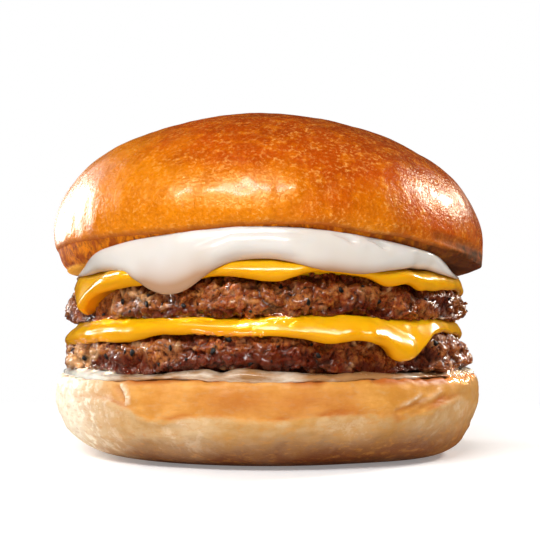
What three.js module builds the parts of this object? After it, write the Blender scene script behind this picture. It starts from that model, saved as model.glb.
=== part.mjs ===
// Double cheeseburger, built layer by layer as it is stacked: bottom bun, cream sauce,
// patty, cheese slice, patty, cheese slice, white sauce and top bun.
// Units are millimetres, +Z is up and the front of the burger faces -Y. A bearing is the
// angle round the burger from its front, positive towards +X.
import * as THREE from 'three';

// Stack: height of each level on the burger's axis, from the table up.
const GAP = 0.3;
const HEEL_TOP = 19.6;
const CREAM_TOP = 20.9;
const PATTY_THICKNESS = 8.6;
const LOWER_PATTY_BOTTOM = CREAM_TOP + GAP;
const CHEESE_THICKNESS = 2.3;
const LOWER_CHEESE_BOTTOM = LOWER_PATTY_BOTTOM + PATTY_THICKNESS + GAP;
const UPPER_PATTY_BOTTOM = LOWER_CHEESE_BOTTOM + CHEESE_THICKNESS + GAP;
const UPPER_CHEESE_BOTTOM = UPPER_PATTY_BOTTOM + PATTY_THICKNESS + GAP;
const WHITE_SAUCE_BOTTOM = UPPER_CHEESE_BOTTOM + CHEESE_THICKNESS + GAP;
const CROWN_CUT = 45.7;
const CROWN_APEX = 86.4;

// The stack leans back: how much each level rises per millimetre towards the front.
const LEAN_LOWER_PATTY = 0.004;
const LEAN_UPPER_PATTY = 0.008;
const LEAN_CROWN_CUT = 0.022;

// Buns.
const HEEL_FOOT_RADIUS = 38;
const HEEL_RADIUS = 54.4;
const HEEL_WIDEST = 15.6;
const HEEL_TOP_RADIUS = 52.4;
const HEEL_CORNERS = [{ bearing: 60, width: 22, reach: 3.2 }]; // where the foot is fuller
const HEEL_CORNER_HEIGHT = 8;
const CROWN_RADIUS = 55.6;
const CROWN_FULLNESS = 2.07; // 2 is an ellipse, and more is a fuller dome
const CROWN_WIDEST = 52.5;
const CROWN_WIDEST_LEAN = 3.2; // lift of the widest line at the front, and drop at the back
const CROWN_WIDEST_ROLL = 2.5; // lift of the widest line at -X, and drop at +X
const CROWN_CUT_RADIUS = 46.5;
const CROWN_RIM_RADIUS = 53.4;
const CROWN_RIM_ABOVE_CUT = 0.9;
const CROWN_RIM_LIFTS = [{ bearing: -4, width: 40, reach: 5.2 }];
const CROWN_APEX_SHIFT = new THREE.Vector2(-1.8, 2);
const CROWN_UNEVENNESS = 0.45;
const CROWN_SWELL_SIZE = 26;
const HEEL_UNEVENNESS = 0.9;
const HEEL_SWELL_SIZE = 22;

// Patties.
const PATTY_RADIUS = 52.4;
const PATTY_FOOT_EDGE = 3.4; // radius of the lower edge's rounding
const PATTY_SHOULDER = 8; // width of the upper edge's flatter rounding
const PATTY_LUMP_DEPTH = 4.4;
const PATTY_LUMP_SIZE = 6.8;
const PATTY_MEAN_LUMP = 0.72; // average lumpiness, which leaves the radius as it is
const PATTY_WAVE = 0.6;
const PATTY_PRESS = 2; // how far a hanging drip presses the patty's side in
const PRESS_START = 4.6; // reach of the cheese from which its drip starts to press
const PRESS_FULL = 7.6;

// Melted cheese and sauces: a sheet lies flat out to its shoulder, then bends down.
const SHOULDER_RADIUS = 46.5;
const SHEET_FOLD = 5; // width of the sheet past its shoulder, before it is stretched
const CHEESE_BEND = 5.3;
const CHEESE_BEAD = 0.12; // how much thicker the lip is than the slice
const CHEESE_RIPPLE = 0.5;
const WHITE_SAUCE_BEND = CHEESE_BEND + CHEESE_THICKNESS * (1 + CHEESE_BEAD) + GAP * 2;
const WHITE_SAUCE_FACE_IN = 46;
const WHITE_SAUCE_FACE_OUT = 52.8;
const WHITE_SAUCE_BELLY_IN = 1.2; // how far its face bulges at the back
const WHITE_SAUCE_BELLY_OUT = 3.8; // and at the front
const CREAM_RADIUS = 52.4;
const CREAM_BEAD = 0.8;
const CREAM_BEAD_WIDTH = 2.6;
const CREAM_WAVE = 0.4;

// Facets round the axis. The white sauce and the top bun share one count with the cheese,
// because the sauce lies on the cheese and its top follows the underside of the bun.
const HEEL_SEGMENTS = 64;
const PATTY_SEGMENTS = 96;
const TOP_SEGMENTS = 72;
const DOME_STEPS = 12; // facets up the top bun's dome

// Where the cheese and the sauce hang down: bearing and half-width in degrees, and how
// much further the sheet reaches there. A square slice hangs lowest at its corners.
const UPPER_CHEESE_HANGS = [
  { bearing: -54, width: 10, reach: 6.4 },
  { bearing: -72, width: 14, reach: 2.2 },
  { bearing: 3, width: 9, reach: 1.2 },
  { bearing: 47, width: 20, reach: 1.6 },
  { bearing: 128, width: 20, reach: 4.6 },
  { bearing: -143, width: 17, reach: 5.4 },
];
const LOWER_CHEESE_HANGS = [
  { bearing: 35, width: 10, reach: 6 },
  { bearing: -80, width: 16, reach: 1.8 },
  { bearing: 118, width: 20, reach: 3.6 },
  { bearing: -145, width: 22, reach: 4.2 },
];
const WHITE_SAUCE_HANGS = [
  { bearing: -22, width: 11, reach: 7 },
  { bearing: 20, width: 12, reach: 1.4 },
  { bearing: 160, width: 24, reach: 2.2 },
];
const UPPER_CHEESE_REACH = 4;
const LOWER_CHEESE_REACH = 4.6;
const WHITE_SAUCE_REACH_BACK = 1.2;
const WHITE_SAUCE_REACH_FRONT = 4.6;
const WHITE_SAUCE_LEFT_END = -66; // bearings between which the sauce swells out
const WHITE_SAUCE_RIGHT_END = 62;
const WHITE_SAUCE_FADE = 34;

// A bearing in degrees between -180 and 180.
function inDegrees(bearing) {
  return THREE.MathUtils.euclideanModulo(THREE.MathUtils.radToDeg(bearing) + 180, 360) - 180;
}

// A repeatable value between 0 and 1 for a corner of the noise's grid.
function cornerValue(i, j, k) {
  const mixed = Math.sin(i * 127.1 + j * 311.7 + k * 74.7) * 43758.5453;
  return mixed - Math.floor(mixed);
}

// Smooth unevenness between -1 and 1, the same for the same point.
function unevenness(x, y, z) {
  const cell = [Math.floor(x), Math.floor(y), Math.floor(z)];
  const part = [x - cell[0], y - cell[1], z - cell[2]].map((t) => t * t * (3 - 2 * t));
  let value = 0;
  for (let corner = 0; corner < 8; corner += 1) {
    const step = [corner & 1, (corner >> 1) & 1, (corner >> 2) & 1];
    const weights = step.map((on, axis) => (on ? part[axis] : 1 - part[axis]));
    const height = cornerValue(cell[0] + step[0], cell[1] + step[1], cell[2] + step[2]);
    value += weights[0] * weights[1] * weights[2] * height;
  }
  return value * 2 - 1;
}

// 1 at the middle of the nearest lump of a packed heap, falling to about 0 in the clefts.
function lumpiness(x, y, z) {
  const home = [Math.round(x), Math.round(y), Math.round(z)];
  let nearest = Infinity;
  for (let step = 0; step < 27; step += 1) {
    const i = home[0] + (step % 3) - 1;
    const j = home[1] + (Math.floor(step / 3) % 3) - 1;
    const k = home[2] + Math.floor(step / 9) - 1;
    const dx = x - i - 0.7 * (cornerValue(i, j, k) - 0.5);
    const dy = y - j - 0.7 * (cornerValue(j, k, i) - 0.5);
    const dz = z - k - 0.7 * (cornerValue(k, i, j) - 0.5);
    nearest = Math.min(nearest, dx * dx + dy * dy + dz * dz);
  }
  return 1 - nearest;
}

// 1 at the middle of a hang, falling smoothly to 0 at its half-width and beyond.
function hangWeight(bearing, hang) {
  const turn = inDegrees(bearing - THREE.MathUtils.degToRad(hang.bearing));
  const share = Math.min(Math.abs(turn) / (hang.width * 1.6), 1);
  return (1 - share * share) ** 2;
}

// How far a sheet reaches past its shoulder at a bearing.
function reachAt(bearing, base, hangs) {
  return hangs.reduce((reach, hang) => reach + hang.reach * hangWeight(bearing, hang), base);
}

// Height that a leaning level gains at a radius and bearing.
function leanAt(lean, radius, bearing) {
  return lean * radius * Math.cos(bearing);
}

// A solid of revolution about the Z axis whose points are then moved by place, which takes
// a point's radius, bearing and height and gives its new radius and height.
function turnedSolid(profile, segments, place) {
  const geometry = new THREE.LatheGeometry(profile, segments);
  geometry.rotateX(Math.PI / 2);
  const position = geometry.attributes.position;
  for (let i = 0; i < position.count; i += 1) {
    const step = Math.floor(i / profile.length) % segments;
    const bearing = (step / segments) * Math.PI * 2;
    const point = profile[i % profile.length];
    const moved = place(point.x, bearing, point.y, i % profile.length);
    const x = moved.radius * Math.sin(bearing) + (moved.shiftX ?? 0);
    const y = -moved.radius * Math.cos(bearing) + (moved.shiftY ?? 0);
    position.setXYZ(i, x, y, moved.height);
  }
  geometry.computeVertexNormals();
  return geometry;
}

function layer(name, geometry, color, roughness) {
  const material = new THREE.MeshStandardMaterial({ color, roughness, metalness: 0 });
  const mesh = new THREE.Mesh(geometry, material);
  mesh.name = name;
  return mesh;
}

// Bottom bun: a flat foot, a full round side and a flat cut face.
function heelGeometry() {
  const outline = new THREE.Path();
  outline.moveTo(0, 0);
  outline.lineTo(HEEL_FOOT_RADIUS, 0);
  outline.bezierCurveTo(46, 0, HEEL_RADIUS, 5, HEEL_RADIUS, HEEL_WIDEST);
  outline.bezierCurveTo(HEEL_RADIUS, 18.2, 54, HEEL_TOP, HEEL_TOP_RADIUS, HEEL_TOP);
  outline.lineTo(0, HEEL_TOP);
  return turnedSolid(outline.getPoints(5), HEEL_SEGMENTS, (radius, bearing, height) => {
    const x = radius * Math.sin(bearing);
    const y = -radius * Math.cos(bearing);
    const onSide = Math.sin((Math.PI * height) / HEEL_TOP);
    const spot = [x, y, height * 1.5].map((along) => along / HEEL_SWELL_SIZE);
    const swell = HEEL_UNEVENNESS * onSide * unevenness(...spot);
    const low = Math.max(0, 1 - height / HEEL_CORNER_HEIGHT);
    const out = Math.min(1, radius / HEEL_FOOT_RADIUS);
    const corner = reachAt(bearing, 0, HEEL_CORNERS) * low * out;
    return { radius: radius + swell + corner, height };
  });
}

// Lift of the top bun's widest line at a bearing.
function crownLift(bearing) {
  return CROWN_WIDEST_LEAN * Math.cos(bearing) - CROWN_WIDEST_ROLL * Math.sin(bearing);
}

// Underside of the top bun: the leaning cut face, then the crust rising to the rim.
function crownUnderside(radius, bearing) {
  const inner = Math.min(radius, CROWN_CUT_RADIUS);
  const cut = CROWN_CUT + leanAt(LEAN_CROWN_CUT, inner, bearing);
  const rim = cut + reachAt(bearing, CROWN_RIM_ABOVE_CUT, CROWN_RIM_LIFTS);
  const share = (radius - inner) / (CROWN_RIM_RADIUS - CROWN_CUT_RADIUS);
  return THREE.MathUtils.lerp(cut, rim, share);
}

// Top bun: a tall dome over a rounded rim, higher at the front and the left.
function crownGeometry() {
  const outline = new THREE.Path();
  const rim = CROWN_CUT + CROWN_RIM_ABOVE_CUT;
  outline.moveTo(0, CROWN_CUT);
  outline.lineTo(CROWN_CUT_RADIUS, CROWN_CUT);
  outline.lineTo(CROWN_RIM_RADIUS, rim);
  const cheek = new THREE.CubicBezierCurve(
    new THREE.Vector2(CROWN_RIM_RADIUS, rim),
    new THREE.Vector2(CROWN_RIM_RADIUS + 1.6, rim + 0.4),
    new THREE.Vector2(CROWN_RADIUS, CROWN_WIDEST - 2.4),
    new THREE.Vector2(CROWN_RADIUS, CROWN_WIDEST));
  const points = [...outline.getPoints(1), ...cheek.getPoints(3).slice(1)];
  for (let step = 1; step <= DOME_STEPS; step += 1) {
    const turn = ((step / DOME_STEPS) * Math.PI) / 2;
    const out = step < DOME_STEPS ? Math.cos(turn) ** (2 / CROWN_FULLNESS) : 0;
    const up = Math.sin(turn) ** (2 / CROWN_FULLNESS);
    const height = THREE.MathUtils.lerp(CROWN_WIDEST, CROWN_APEX, up);
    points.push(new THREE.Vector2(CROWN_RADIUS * out, height));
  }
  return turnedSolid(points, TOP_SEGMENTS, (radius, bearing, height, index) => {
    if (index <= 2) {
      return { radius, height: crownUnderside(radius, bearing) };
    }
    const up = Math.max(0, (height - CROWN_WIDEST) / (CROWN_APEX - CROWN_WIDEST));
    const down = Math.max(0, (CROWN_WIDEST - height) / (CROWN_WIDEST - rim));
    const rimHeight = crownUnderside(CROWN_RIM_RADIUS, bearing);
    const widest = CROWN_WIDEST + crownLift(bearing);
    const lifted = height + crownLift(bearing) * (1 - up) ** 1.3;
    const x = radius * Math.sin(bearing);
    const y = -radius * Math.cos(bearing);
    const spot = [x, y, height].map((along) => along / CROWN_SWELL_SIZE);
    const swell = CROWN_UNEVENNESS * (1 - down) * unevenness(...spot);
    return {
      radius: radius + swell * Math.min(1, radius / 20),
      height: down > 0 ? THREE.MathUtils.lerp(widest, rimHeight, down) : lifted + swell * up,
      shiftX: CROWN_APEX_SHIFT.x * up * up,
      shiftY: CROWN_APEX_SHIFT.y * up,
    };
  });
}

// Minced beef patty: a flat disc with a rounded, craggy edge. Its side is pressed in
// where a drip hangs over it.
function pattyGeometry(bottom, bottomLean, topLean, cheeseReach, hangs, seed) {
  const outline = new THREE.Path();
  const foot = PATTY_RADIUS - PATTY_FOOT_EDGE;
  const shoulder = PATTY_RADIUS - PATTY_SHOULDER;
  const rise = PATTY_THICKNESS - PATTY_FOOT_EDGE;
  outline.moveTo(0, 0);
  outline.lineTo(shoulder, 0);
  outline.lineTo(foot, 0);
  outline.absarc(foot, PATTY_FOOT_EDGE, PATTY_FOOT_EDGE, -Math.PI / 2, 0);
  outline.absellipse(shoulder, PATTY_FOOT_EDGE, PATTY_SHOULDER, rise, 0, Math.PI / 2);
  outline.lineTo(shoulder - 4, PATTY_THICKNESS);
  outline.lineTo(0, PATTY_THICKNESS);
  return turnedSolid(outline.getPoints(2), PATTY_SEGMENTS, (radius, bearing, height) => {
    const x = (radius * Math.sin(bearing)) / PATTY_LUMP_SIZE;
    const y = (-radius * Math.cos(bearing)) / PATTY_LUMP_SIZE;
    const z = height / PATTY_LUMP_SIZE;
    const onSide = THREE.MathUtils.smoothstep(height, 0, PATTY_FOOT_EDGE * 0.6)
      * THREE.MathUtils.smoothstep(PATTY_THICKNESS - height, 0.8, PATTY_THICKNESS / 2);
    const wave = PATTY_WAVE * unevenness(x / 4, y / 4 + seed, 3);
    const lump = PATTY_LUMP_DEPTH * (lumpiness(x + seed, y, z) - PATTY_MEAN_LUMP);
    const hanging = reachAt(bearing, cheeseReach, hangs);
    const pressed = THREE.MathUtils.smoothstep(hanging, PRESS_START, PRESS_FULL);
    const relief = (wave + lump) * (1 - pressed * 0.75) - PATTY_PRESS * pressed;
    const share = height / PATTY_THICKNESS;
    const lean = THREE.MathUtils.lerp(bottomLean, topLean, share);
    return {
      radius: radius + onSide * relief,
      height: bottom + height + leanAt(lean, radius, bearing),
    };
  });
}

function lowerPattyGeometry() {
  return pattyGeometry(LOWER_PATTY_BOTTOM, 0, LEAN_LOWER_PATTY,
    LOWER_CHEESE_REACH, LOWER_CHEESE_HANGS, 11);
}

function upperPattyGeometry() {
  return pattyGeometry(UPPER_PATTY_BOTTOM, LEAN_LOWER_PATTY, LEAN_UPPER_PATTY,
    UPPER_CHEESE_REACH, UPPER_CHEESE_HANGS, 37);
}

// A point of a draped sheet: out is the way along the sheet from the axis, and offset the
// distance from its underside.
function drapedPoint(out, offset, bend) {
  const past = Math.max(0, out - SHOULDER_RADIUS);
  const turn = Math.min(past / bend, Math.PI / 2);
  const straight = Math.max(0, past - (bend * Math.PI) / 2);
  const flat = Math.min(out, SHOULDER_RADIUS);
  return {
    radius: flat + (bend + offset) * Math.sin(turn),
    height: -bend + (bend + offset) * Math.cos(turn) - straight,
  };
}

// Melted cheese slice: a sheet with a rounded lip, draped over its patty's shoulder.
function cheeseGeometry(bottom, lean, base, hangs, seed) {
  const sheet = new THREE.Path();
  const lip = CHEESE_THICKNESS / 2;
  const steps = [0, 0.4, 0.8].map((share) => SHOULDER_RADIUS + share * SHEET_FOLD);
  sheet.moveTo(0, 0);
  steps.forEach((radius) => sheet.lineTo(radius, 0));
  sheet.absarc(SHOULDER_RADIUS + SHEET_FOLD, lip, lip, -Math.PI / 2, Math.PI / 2);
  steps.reverse().forEach((radius) => sheet.lineTo(radius, CHEESE_THICKNESS));
  sheet.lineTo(0, CHEESE_THICKNESS);
  const length = SHEET_FOLD + lip;
  return turnedSolid(sheet.getPoints(2), TOP_SEGMENTS, (radius, bearing, height) => {
    const past = Math.max(0, radius - SHOULDER_RADIUS) / length;
    const ripple = CHEESE_RIPPLE * unevenness(bearing * 5, seed, 0) * Math.sin(bearing / 2);
    const reach = reachAt(bearing, base, hangs) + ripple;
    const bead = 1 + CHEESE_BEAD * past;
    const out = Math.min(radius, SHOULDER_RADIUS) + past * reach;
    const draped = drapedPoint(out, height * bead, CHEESE_BEND);
    const rise = bottom + leanAt(lean, draped.radius, bearing);
    return { radius: draped.radius, height: rise + draped.height };
  });
}

function lowerCheeseGeometry() {
  return cheeseGeometry(LOWER_CHEESE_BOTTOM, LEAN_LOWER_PATTY,
    LOWER_CHEESE_REACH, LOWER_CHEESE_HANGS, 2);
}

function upperCheeseGeometry() {
  return cheeseGeometry(UPPER_CHEESE_BOTTOM, LEAN_UPPER_PATTY,
    UPPER_CHEESE_REACH, UPPER_CHEESE_HANGS, 5);
}

// How strongly the white sauce is pushed out at the front: 1 there and 0 at the back.
function whiteSaucePush(bearing) {
  const turn = inDegrees(bearing);
  const fromLeft = THREE.MathUtils.smoothstep(turn - WHITE_SAUCE_LEFT_END, 0, WHITE_SAUCE_FADE);
  const fromRight = THREE.MathUtils.smoothstep(WHITE_SAUCE_RIGHT_END - turn, 0, WHITE_SAUCE_FADE);
  return fromLeft * fromRight;
}

// White sauce: thin under the top bun, swelling out of the front into a thick smooth bead
// that fills the room up to the rim and hangs down in one drip.
function whiteSauceGeometry() {
  const faceSteps = 6;
  const spans = [0, 0.25, 0.5, 0.75, 1];
  const profile = [new THREE.Vector2(0, 0), new THREE.Vector2(SHOULDER_RADIUS - 4, 0)];
  spans.forEach((span) => profile.push(new THREE.Vector2(SHOULDER_RADIUS + span, 0)));
  for (let step = 1; step <= faceSteps; step += 1) {
    profile.push(new THREE.Vector2(SHOULDER_RADIUS + 1, step / faceSteps));
  }
  profile.push(new THREE.Vector2(CROWN_CUT_RADIUS, 1), new THREE.Vector2(0, 1));
  const lastUnder = 1 + spans.length;
  const lastFace = lastUnder + faceSteps;
  const under = (out, bearing) => {
    const draped = drapedPoint(out, 0, WHITE_SAUCE_BEND);
    const lean = leanAt(LEAN_UPPER_PATTY, draped.radius, bearing);
    return new THREE.Vector2(draped.radius, WHITE_SAUCE_BOTTOM + lean + draped.height);
  };
  return turnedSolid(profile, TOP_SEGMENTS, (radius, bearing, height, index) => {
    const push = whiteSaucePush(bearing);
    const base = THREE.MathUtils.lerp(WHITE_SAUCE_REACH_BACK, WHITE_SAUCE_REACH_FRONT, push);
    const reach = reachAt(bearing, base, WHITE_SAUCE_HANGS);
    if (index <= lastUnder) {
      const past = Math.max(0, radius - SHOULDER_RADIUS);
      const point = under(Math.min(radius, SHOULDER_RADIUS) + past * reach, bearing);
      return { radius: point.x, height: point.y };
    }
    const face = THREE.MathUtils.lerp(WHITE_SAUCE_FACE_IN, WHITE_SAUCE_FACE_OUT, push);
    if (index > lastFace) {
      const inner = Math.min(radius, face - GAP);
      return { radius: inner, height: crownUnderside(inner, bearing) - GAP };
    }
    const lip = under(SHOULDER_RADIUS + reach, bearing);
    const top = new THREE.Vector2(face, crownUnderside(face, bearing) - GAP * 1.6);
    const belly = THREE.MathUtils.lerp(WHITE_SAUCE_BELLY_IN, WHITE_SAUCE_BELLY_OUT, push);
    const bulge = new THREE.CubicBezierCurve(
      lip,
      new THREE.Vector2(lip.x + belly * 0.8, lip.y - belly * 0.1),
      new THREE.Vector2(top.x + belly * 0.6, top.y - belly * 0.2),
      top);
    const point = bulge.getPoint(height);
    return { radius: point.x, height: point.y };
  });
}

// Cream sauce: a thin film on the bottom bun with an uneven bead squeezed out round it.
function creamGeometry() {
  const outline = new THREE.Path();
  const film = CREAM_TOP - HEEL_TOP - GAP;
  outline.moveTo(0, 0);
  outline.lineTo(CREAM_RADIUS - CREAM_BEAD, 0);
  outline.absarc(CREAM_RADIUS - CREAM_BEAD, CREAM_BEAD, CREAM_BEAD, -Math.PI / 2, Math.PI / 2);
  outline.lineTo(CREAM_RADIUS - CREAM_BEAD - CREAM_BEAD_WIDTH, film);
  outline.lineTo(0, film);
  return turnedSolid(outline.getPoints(2), HEEL_SEGMENTS, (radius, bearing, height) => {
    const onEdge = THREE.MathUtils.smoothstep(radius, CREAM_RADIUS - 5, CREAM_RADIUS);
    const wave = CREAM_WAVE * Math.sin(bearing * 7 + Math.sin(bearing * 3)) * onEdge;
    return { radius: radius + wave, height: HEEL_TOP + GAP + height };
  });
}

const burger = new THREE.Group();
burger.add(
  layer('bun_bottom', heelGeometry(), 0xe2a860, 0.7),
  layer('sauce_lower', creamGeometry(), 0xf1e3bd, 0.3),
  layer('patty_lower', lowerPattyGeometry(), 0x74442b, 0.6),
  layer('cheese_lower', lowerCheeseGeometry(), 0xf6a700, 0.3),
  layer('patty_upper', upperPattyGeometry(), 0x7c4a2e, 0.6),
  layer('cheese_upper', upperCheeseGeometry(), 0xf8ad00, 0.3),
  layer('sauce_upper', whiteSauceGeometry(), 0xf7f1e9, 0.25),
  layer('bun_top', crownGeometry(), 0xd87a16, 0.35),
);

// The origin is the centre of the burger's box, on the table.
const box = new THREE.Box3().setFromObject(burger);
const centre = box.getCenter(new THREE.Vector3());
burger.position.set(-centre.x, -centre.y, -box.min.z);

export default burger;
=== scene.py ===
"""Looks of the double cheeseburger: bun, two craggy patties, melted slices and two sauces.

Lengths in the shape functions are millimetres, +Z is up and the front faces -Y. A bearing
is the angle round the burger from its front in degrees, positive towards +X.
"""
import math
import random

import bpy
import numpy as np
from mathutils import Matrix, Vector
from mathutils.bvhtree import BVHTree


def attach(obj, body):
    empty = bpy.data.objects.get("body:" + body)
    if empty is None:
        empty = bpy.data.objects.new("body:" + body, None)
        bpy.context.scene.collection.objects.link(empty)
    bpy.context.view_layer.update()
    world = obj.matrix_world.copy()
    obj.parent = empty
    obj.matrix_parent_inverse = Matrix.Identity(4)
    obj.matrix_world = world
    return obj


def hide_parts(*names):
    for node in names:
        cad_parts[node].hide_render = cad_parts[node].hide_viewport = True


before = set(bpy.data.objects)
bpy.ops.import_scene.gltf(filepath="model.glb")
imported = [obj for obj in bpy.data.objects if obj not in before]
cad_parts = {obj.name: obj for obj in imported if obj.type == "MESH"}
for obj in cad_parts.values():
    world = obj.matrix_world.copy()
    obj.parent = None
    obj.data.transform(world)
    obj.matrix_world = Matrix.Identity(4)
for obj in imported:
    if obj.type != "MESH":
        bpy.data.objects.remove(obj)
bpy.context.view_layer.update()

bl_info = {
    "name": "Double Cheeseburger",
    "version": (1, 0, 0),
    "blender": (4, 5, 0),
    "location": "3D View > Sidebar > Burger",
    "description": "Builds a double cheeseburger layer by layer",
    "category": "Add Mesh",
}

BODY = "root"
MM = 0.001
AXIS = (0.0981, 0.0494)  # where the stack's axis stands in the frame
SIDE_RADIUS = 52  # where widths round the side are measured
LIP_RING = 50  # where the unevenness of a lip is read
RAY_START = 75  # outside everything, to look in from
MERGE = 1e-7  # points nearer than this are one, in metres
HANG_SPREAD = 1.6  # a hang fades out this many half-widths from its middle

# Stack: height of each level on the axis, as in the solids.
GAP = 0.3
HEEL_TOP = 19.6
CREAM_TOP = 20.9
PATTY_THICKNESS = 8.6
LOWER_PATTY_BOTTOM = CREAM_TOP + GAP
CHEESE_THICKNESS = 2.3
LOWER_CHEESE_BOTTOM = LOWER_PATTY_BOTTOM + PATTY_THICKNESS + GAP
UPPER_PATTY_BOTTOM = LOWER_CHEESE_BOTTOM + CHEESE_THICKNESS + GAP
UPPER_CHEESE_BOTTOM = UPPER_PATTY_BOTTOM + PATTY_THICKNESS + GAP
WHITE_SAUCE_BOTTOM = UPPER_CHEESE_BOTTOM + CHEESE_THICKNESS + GAP
DOME_CUT = 45.7
DOME_APEX = 86.4
LEAN_LOWER_PATTY = 0.004
LEAN_UPPER_PATTY = 0.008
LEAN_DOME_CUT = 0.022

# Bottom bun. Its marks are strokes in the skin: width and paths of (bearing, height).
HEEL_FOOT_RADIUS = 38
HEEL_RADIUS = 54.4
HEEL_WIDEST = 15.6
HEEL_TOP_RADIUS = 52.4
HEEL_UNEVENNESS = 0.9
HEEL_SWELL_SIZE = 22
HEEL_CORNER = (60, 22, 3.2)  # bearing, half-width and reach of the fuller foot
HEEL_CORNER_HEIGHT = 8
HEEL_TORN = (-73, 27)  # bearing and half-width of the flaky side, and so on
HEEL_FADED = (72, 18)
HEEL_BAKED = (-1, 24)
HEEL_FOLD = [
    (-180, 12.5), (-140, 13.6), (-100, 12.4), (-60, 14.6), (-38, 13.9), (-32, 12.2), (-25.5, 10.9),
    (-20, 11.2), (-9, 12), (-5, 11.3), (5, 11.5), (10, 11.3), (15, 12.5), (22.5, 12.4),
    (28.5, 11.4), (34.5, 10.8), (38, 12), (43, 12.8), (50, 14.6), (70, 13), (110, 12), (150, 13.2)]
# In order: the notch, the flap, the nick and the crack. The notch and the crack are pressed in and
# get painted shade.
HEEL_MARKS = [
    (1.0, [[(-38.2, 17.6), (-36.6, 16.6), (-35.6, 15)]]),
    (1.1, [[(-36.2, 17.9), (-34.8, 16.6), (-34.2, 14.8)]]),
    (0.6, [[(32, 14), (35, 14.8), (38.5, 16.2)], [(38, 14.6), (42, 15.4), (46, 16.8)]]),
    (0.7, [[(31, 12.8), (35, 13.6), (40, 15)], [(38, 13.2), (43, 14.2), (48, 15.6)]])]

# Top bun.
DOME_RADIUS = 55.6
DOME_FULLNESS = 2.07
DOME_WIDEST = 52.5
DOME_WIDEST_LEAN = 3.2
DOME_WIDEST_ROLL = 2.5
DOME_CUT_RADIUS = 46.5
DOME_RIM_RADIUS = 53.4
DOME_RIM_ABOVE_CUT = 0.9
DOME_RIM_LIFT = (-4, 40, 5.2)
DOME_APEX_SHIFT = (-1.8, 2.0)
DOME_UNEVENNESS = 0.45
DOME_SWELL_SIZE = 26
DOME_CREASE = [
    (-180, 47), (-130, 48.4), (-100, 50.2), (-79, 50.8), (-45, 51.2), (-16, 51.6), (-7, 52.3),
    (5, 52.7), (15, 52.4), (22, 51.4), (31.5, 50.9), (41.6, 49.6), (52, 48.4), (62.5, 47.4),
    (76, 46.8), (90, 46.9), (110, 47.2), (150, 47)]
DOME_GROOVE = [(40, 52), (48, 51), (56, 50.4), (64, 49.9), (70, 49.8), (76, 50.6)]

# Patties.
PATTY_RADIUS = 52.4
PATTY_FOOT_EDGE = 2.4
PATTY_SHOULDER = 5.5
PATTY_LUMP_DEPTH = 4.4
PATTY_LUMP_SIZE = 6.8
PATTY_MEAN_LUMP = 0.72
PATTY_WAVE = 0.6
PATTY_PRESS = 2
PRESS_START = 4.6
PRESS_FULL = 7.6

# Sheets of cheese and sauce, flat out to their shoulder and then bent down.
SHOULDER_RADIUS = 46.5
CREAM_SHOULDER = 47.5
WHITE_SAUCE_FACE = (46.5, 53.1)
WHITE_SAUCE_BELLY = (1.4, 3.6)
WHITE_SAUCE_ENDS = (-74, 72)
WHITE_SAUCE_FADE = 30
WHITE_SAUCE_RIDGE = [(-19, 44.8), (-13, 46.6), (-7.6, 48.2), (0, 48.5), (12, 48)]
WHITE_SAUCE_TUCKS = [[(14.5, 51.6), (18, 50.6), (21, 48.6)], [(23, 50.8), (26, 49.8), (29.5, 47.8)]]

# Each sheet's edge, round the burger by bearing: height of its lip, radius of its outer face,
# thickness of its bead, how far its top swells up before it turns down, and how far its face
# leans out. Its rolls are soft swells: path of (bearing, height), width, depth and taper.
UPPER_CHEESE = {
    "bottom": UPPER_CHEESE_BOTTOM, "top": UPPER_CHEESE_BOTTOM + CHEESE_THICKNESS,
    "lean": LEAN_UPPER_PATTY, "shoulder": SHOULDER_RADIUS, "seed": 5, "wave": 0.2,
    "lean_out": [
        (-180, 0.8), (-60, 0.8), (-30, 0.8), (0, 1.2), (10, 0.7), (22, 0.1), (50, 0.1), (70, 0.5)],
    "rolls": [
        ([(-37, 42.6), (-42, 41.8), (-45.5, 40.6), (-49, 38.4), (-52.5, 36.2)], 3.1, 2.4, 0),
        ([(-14, 43.4), (0, 43.2), (13, 43.4)], 2.2, 0.5, 5),
        ([(20, 41.9), (34, 41.8), (50, 41.6)], 1.9, 0.5, 6)],
    "lip": [
        (-180, 39.5), (-160, 38.4), (-143, 35.4), (-125, 38.6), (-100, 39.4), (-86, 40.2),
        (-76, 40), (-69, 39.5), (-64, 38), (-60, 35.4), (-56.5, 34.2), (-53, 34.9), (-49, 37.5),
        (-45, 39), (-37, 39.9), (-28, 40.4), (-20, 40.8), (-10, 41.8), (-4.4, 41.2), (1, 40.5),
        (3.5, 40.6), (6, 41.4), (9, 42.2), (20, 42.1), (24.6, 41.5), (29, 40.1), (37, 40.5),
        (42, 39.4), (47, 39.5), (52, 39.8), (65, 40.3), (78, 39.6), (95, 38.6), (112, 37.6),
        (128, 36), (145, 38.4)],
    "face": [
        (-180, 53.4), (-143, 54), (-115, 52.6), (-90, 50.6), (-76, 50.3), (-68, 51.2), (-60, 52.6),
        (-54, 52.8), (-40, 52.4), (-20, 52.9), (0, 53.3), (20, 52.8), (40, 53.1), (55, 52.2),
        (70, 51), (90, 50.8), (128, 53.8), (150, 53.4)],
    "bead": [
        (-180, 2.2), (-143, 3), (-90, 2.2), (-72, 2.2), (-60, 3.4), (-48, 3), (-30, 2.4),
        (-5, 2.9), (10, 2.1), (20, 2.1), (35, 2.6), (60, 2.3), (90, 2.2), (128, 3)],
    "rise": [
        (-180, 0.6), (-90, 0.6), (-60, 1.6), (-40, 1.8), (-20, 1.2), (-8, 2.7), (8, 2.7),
        (18, 1.6), (60, 0.8), (90, 0.6), (140, 0.8)]}
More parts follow.
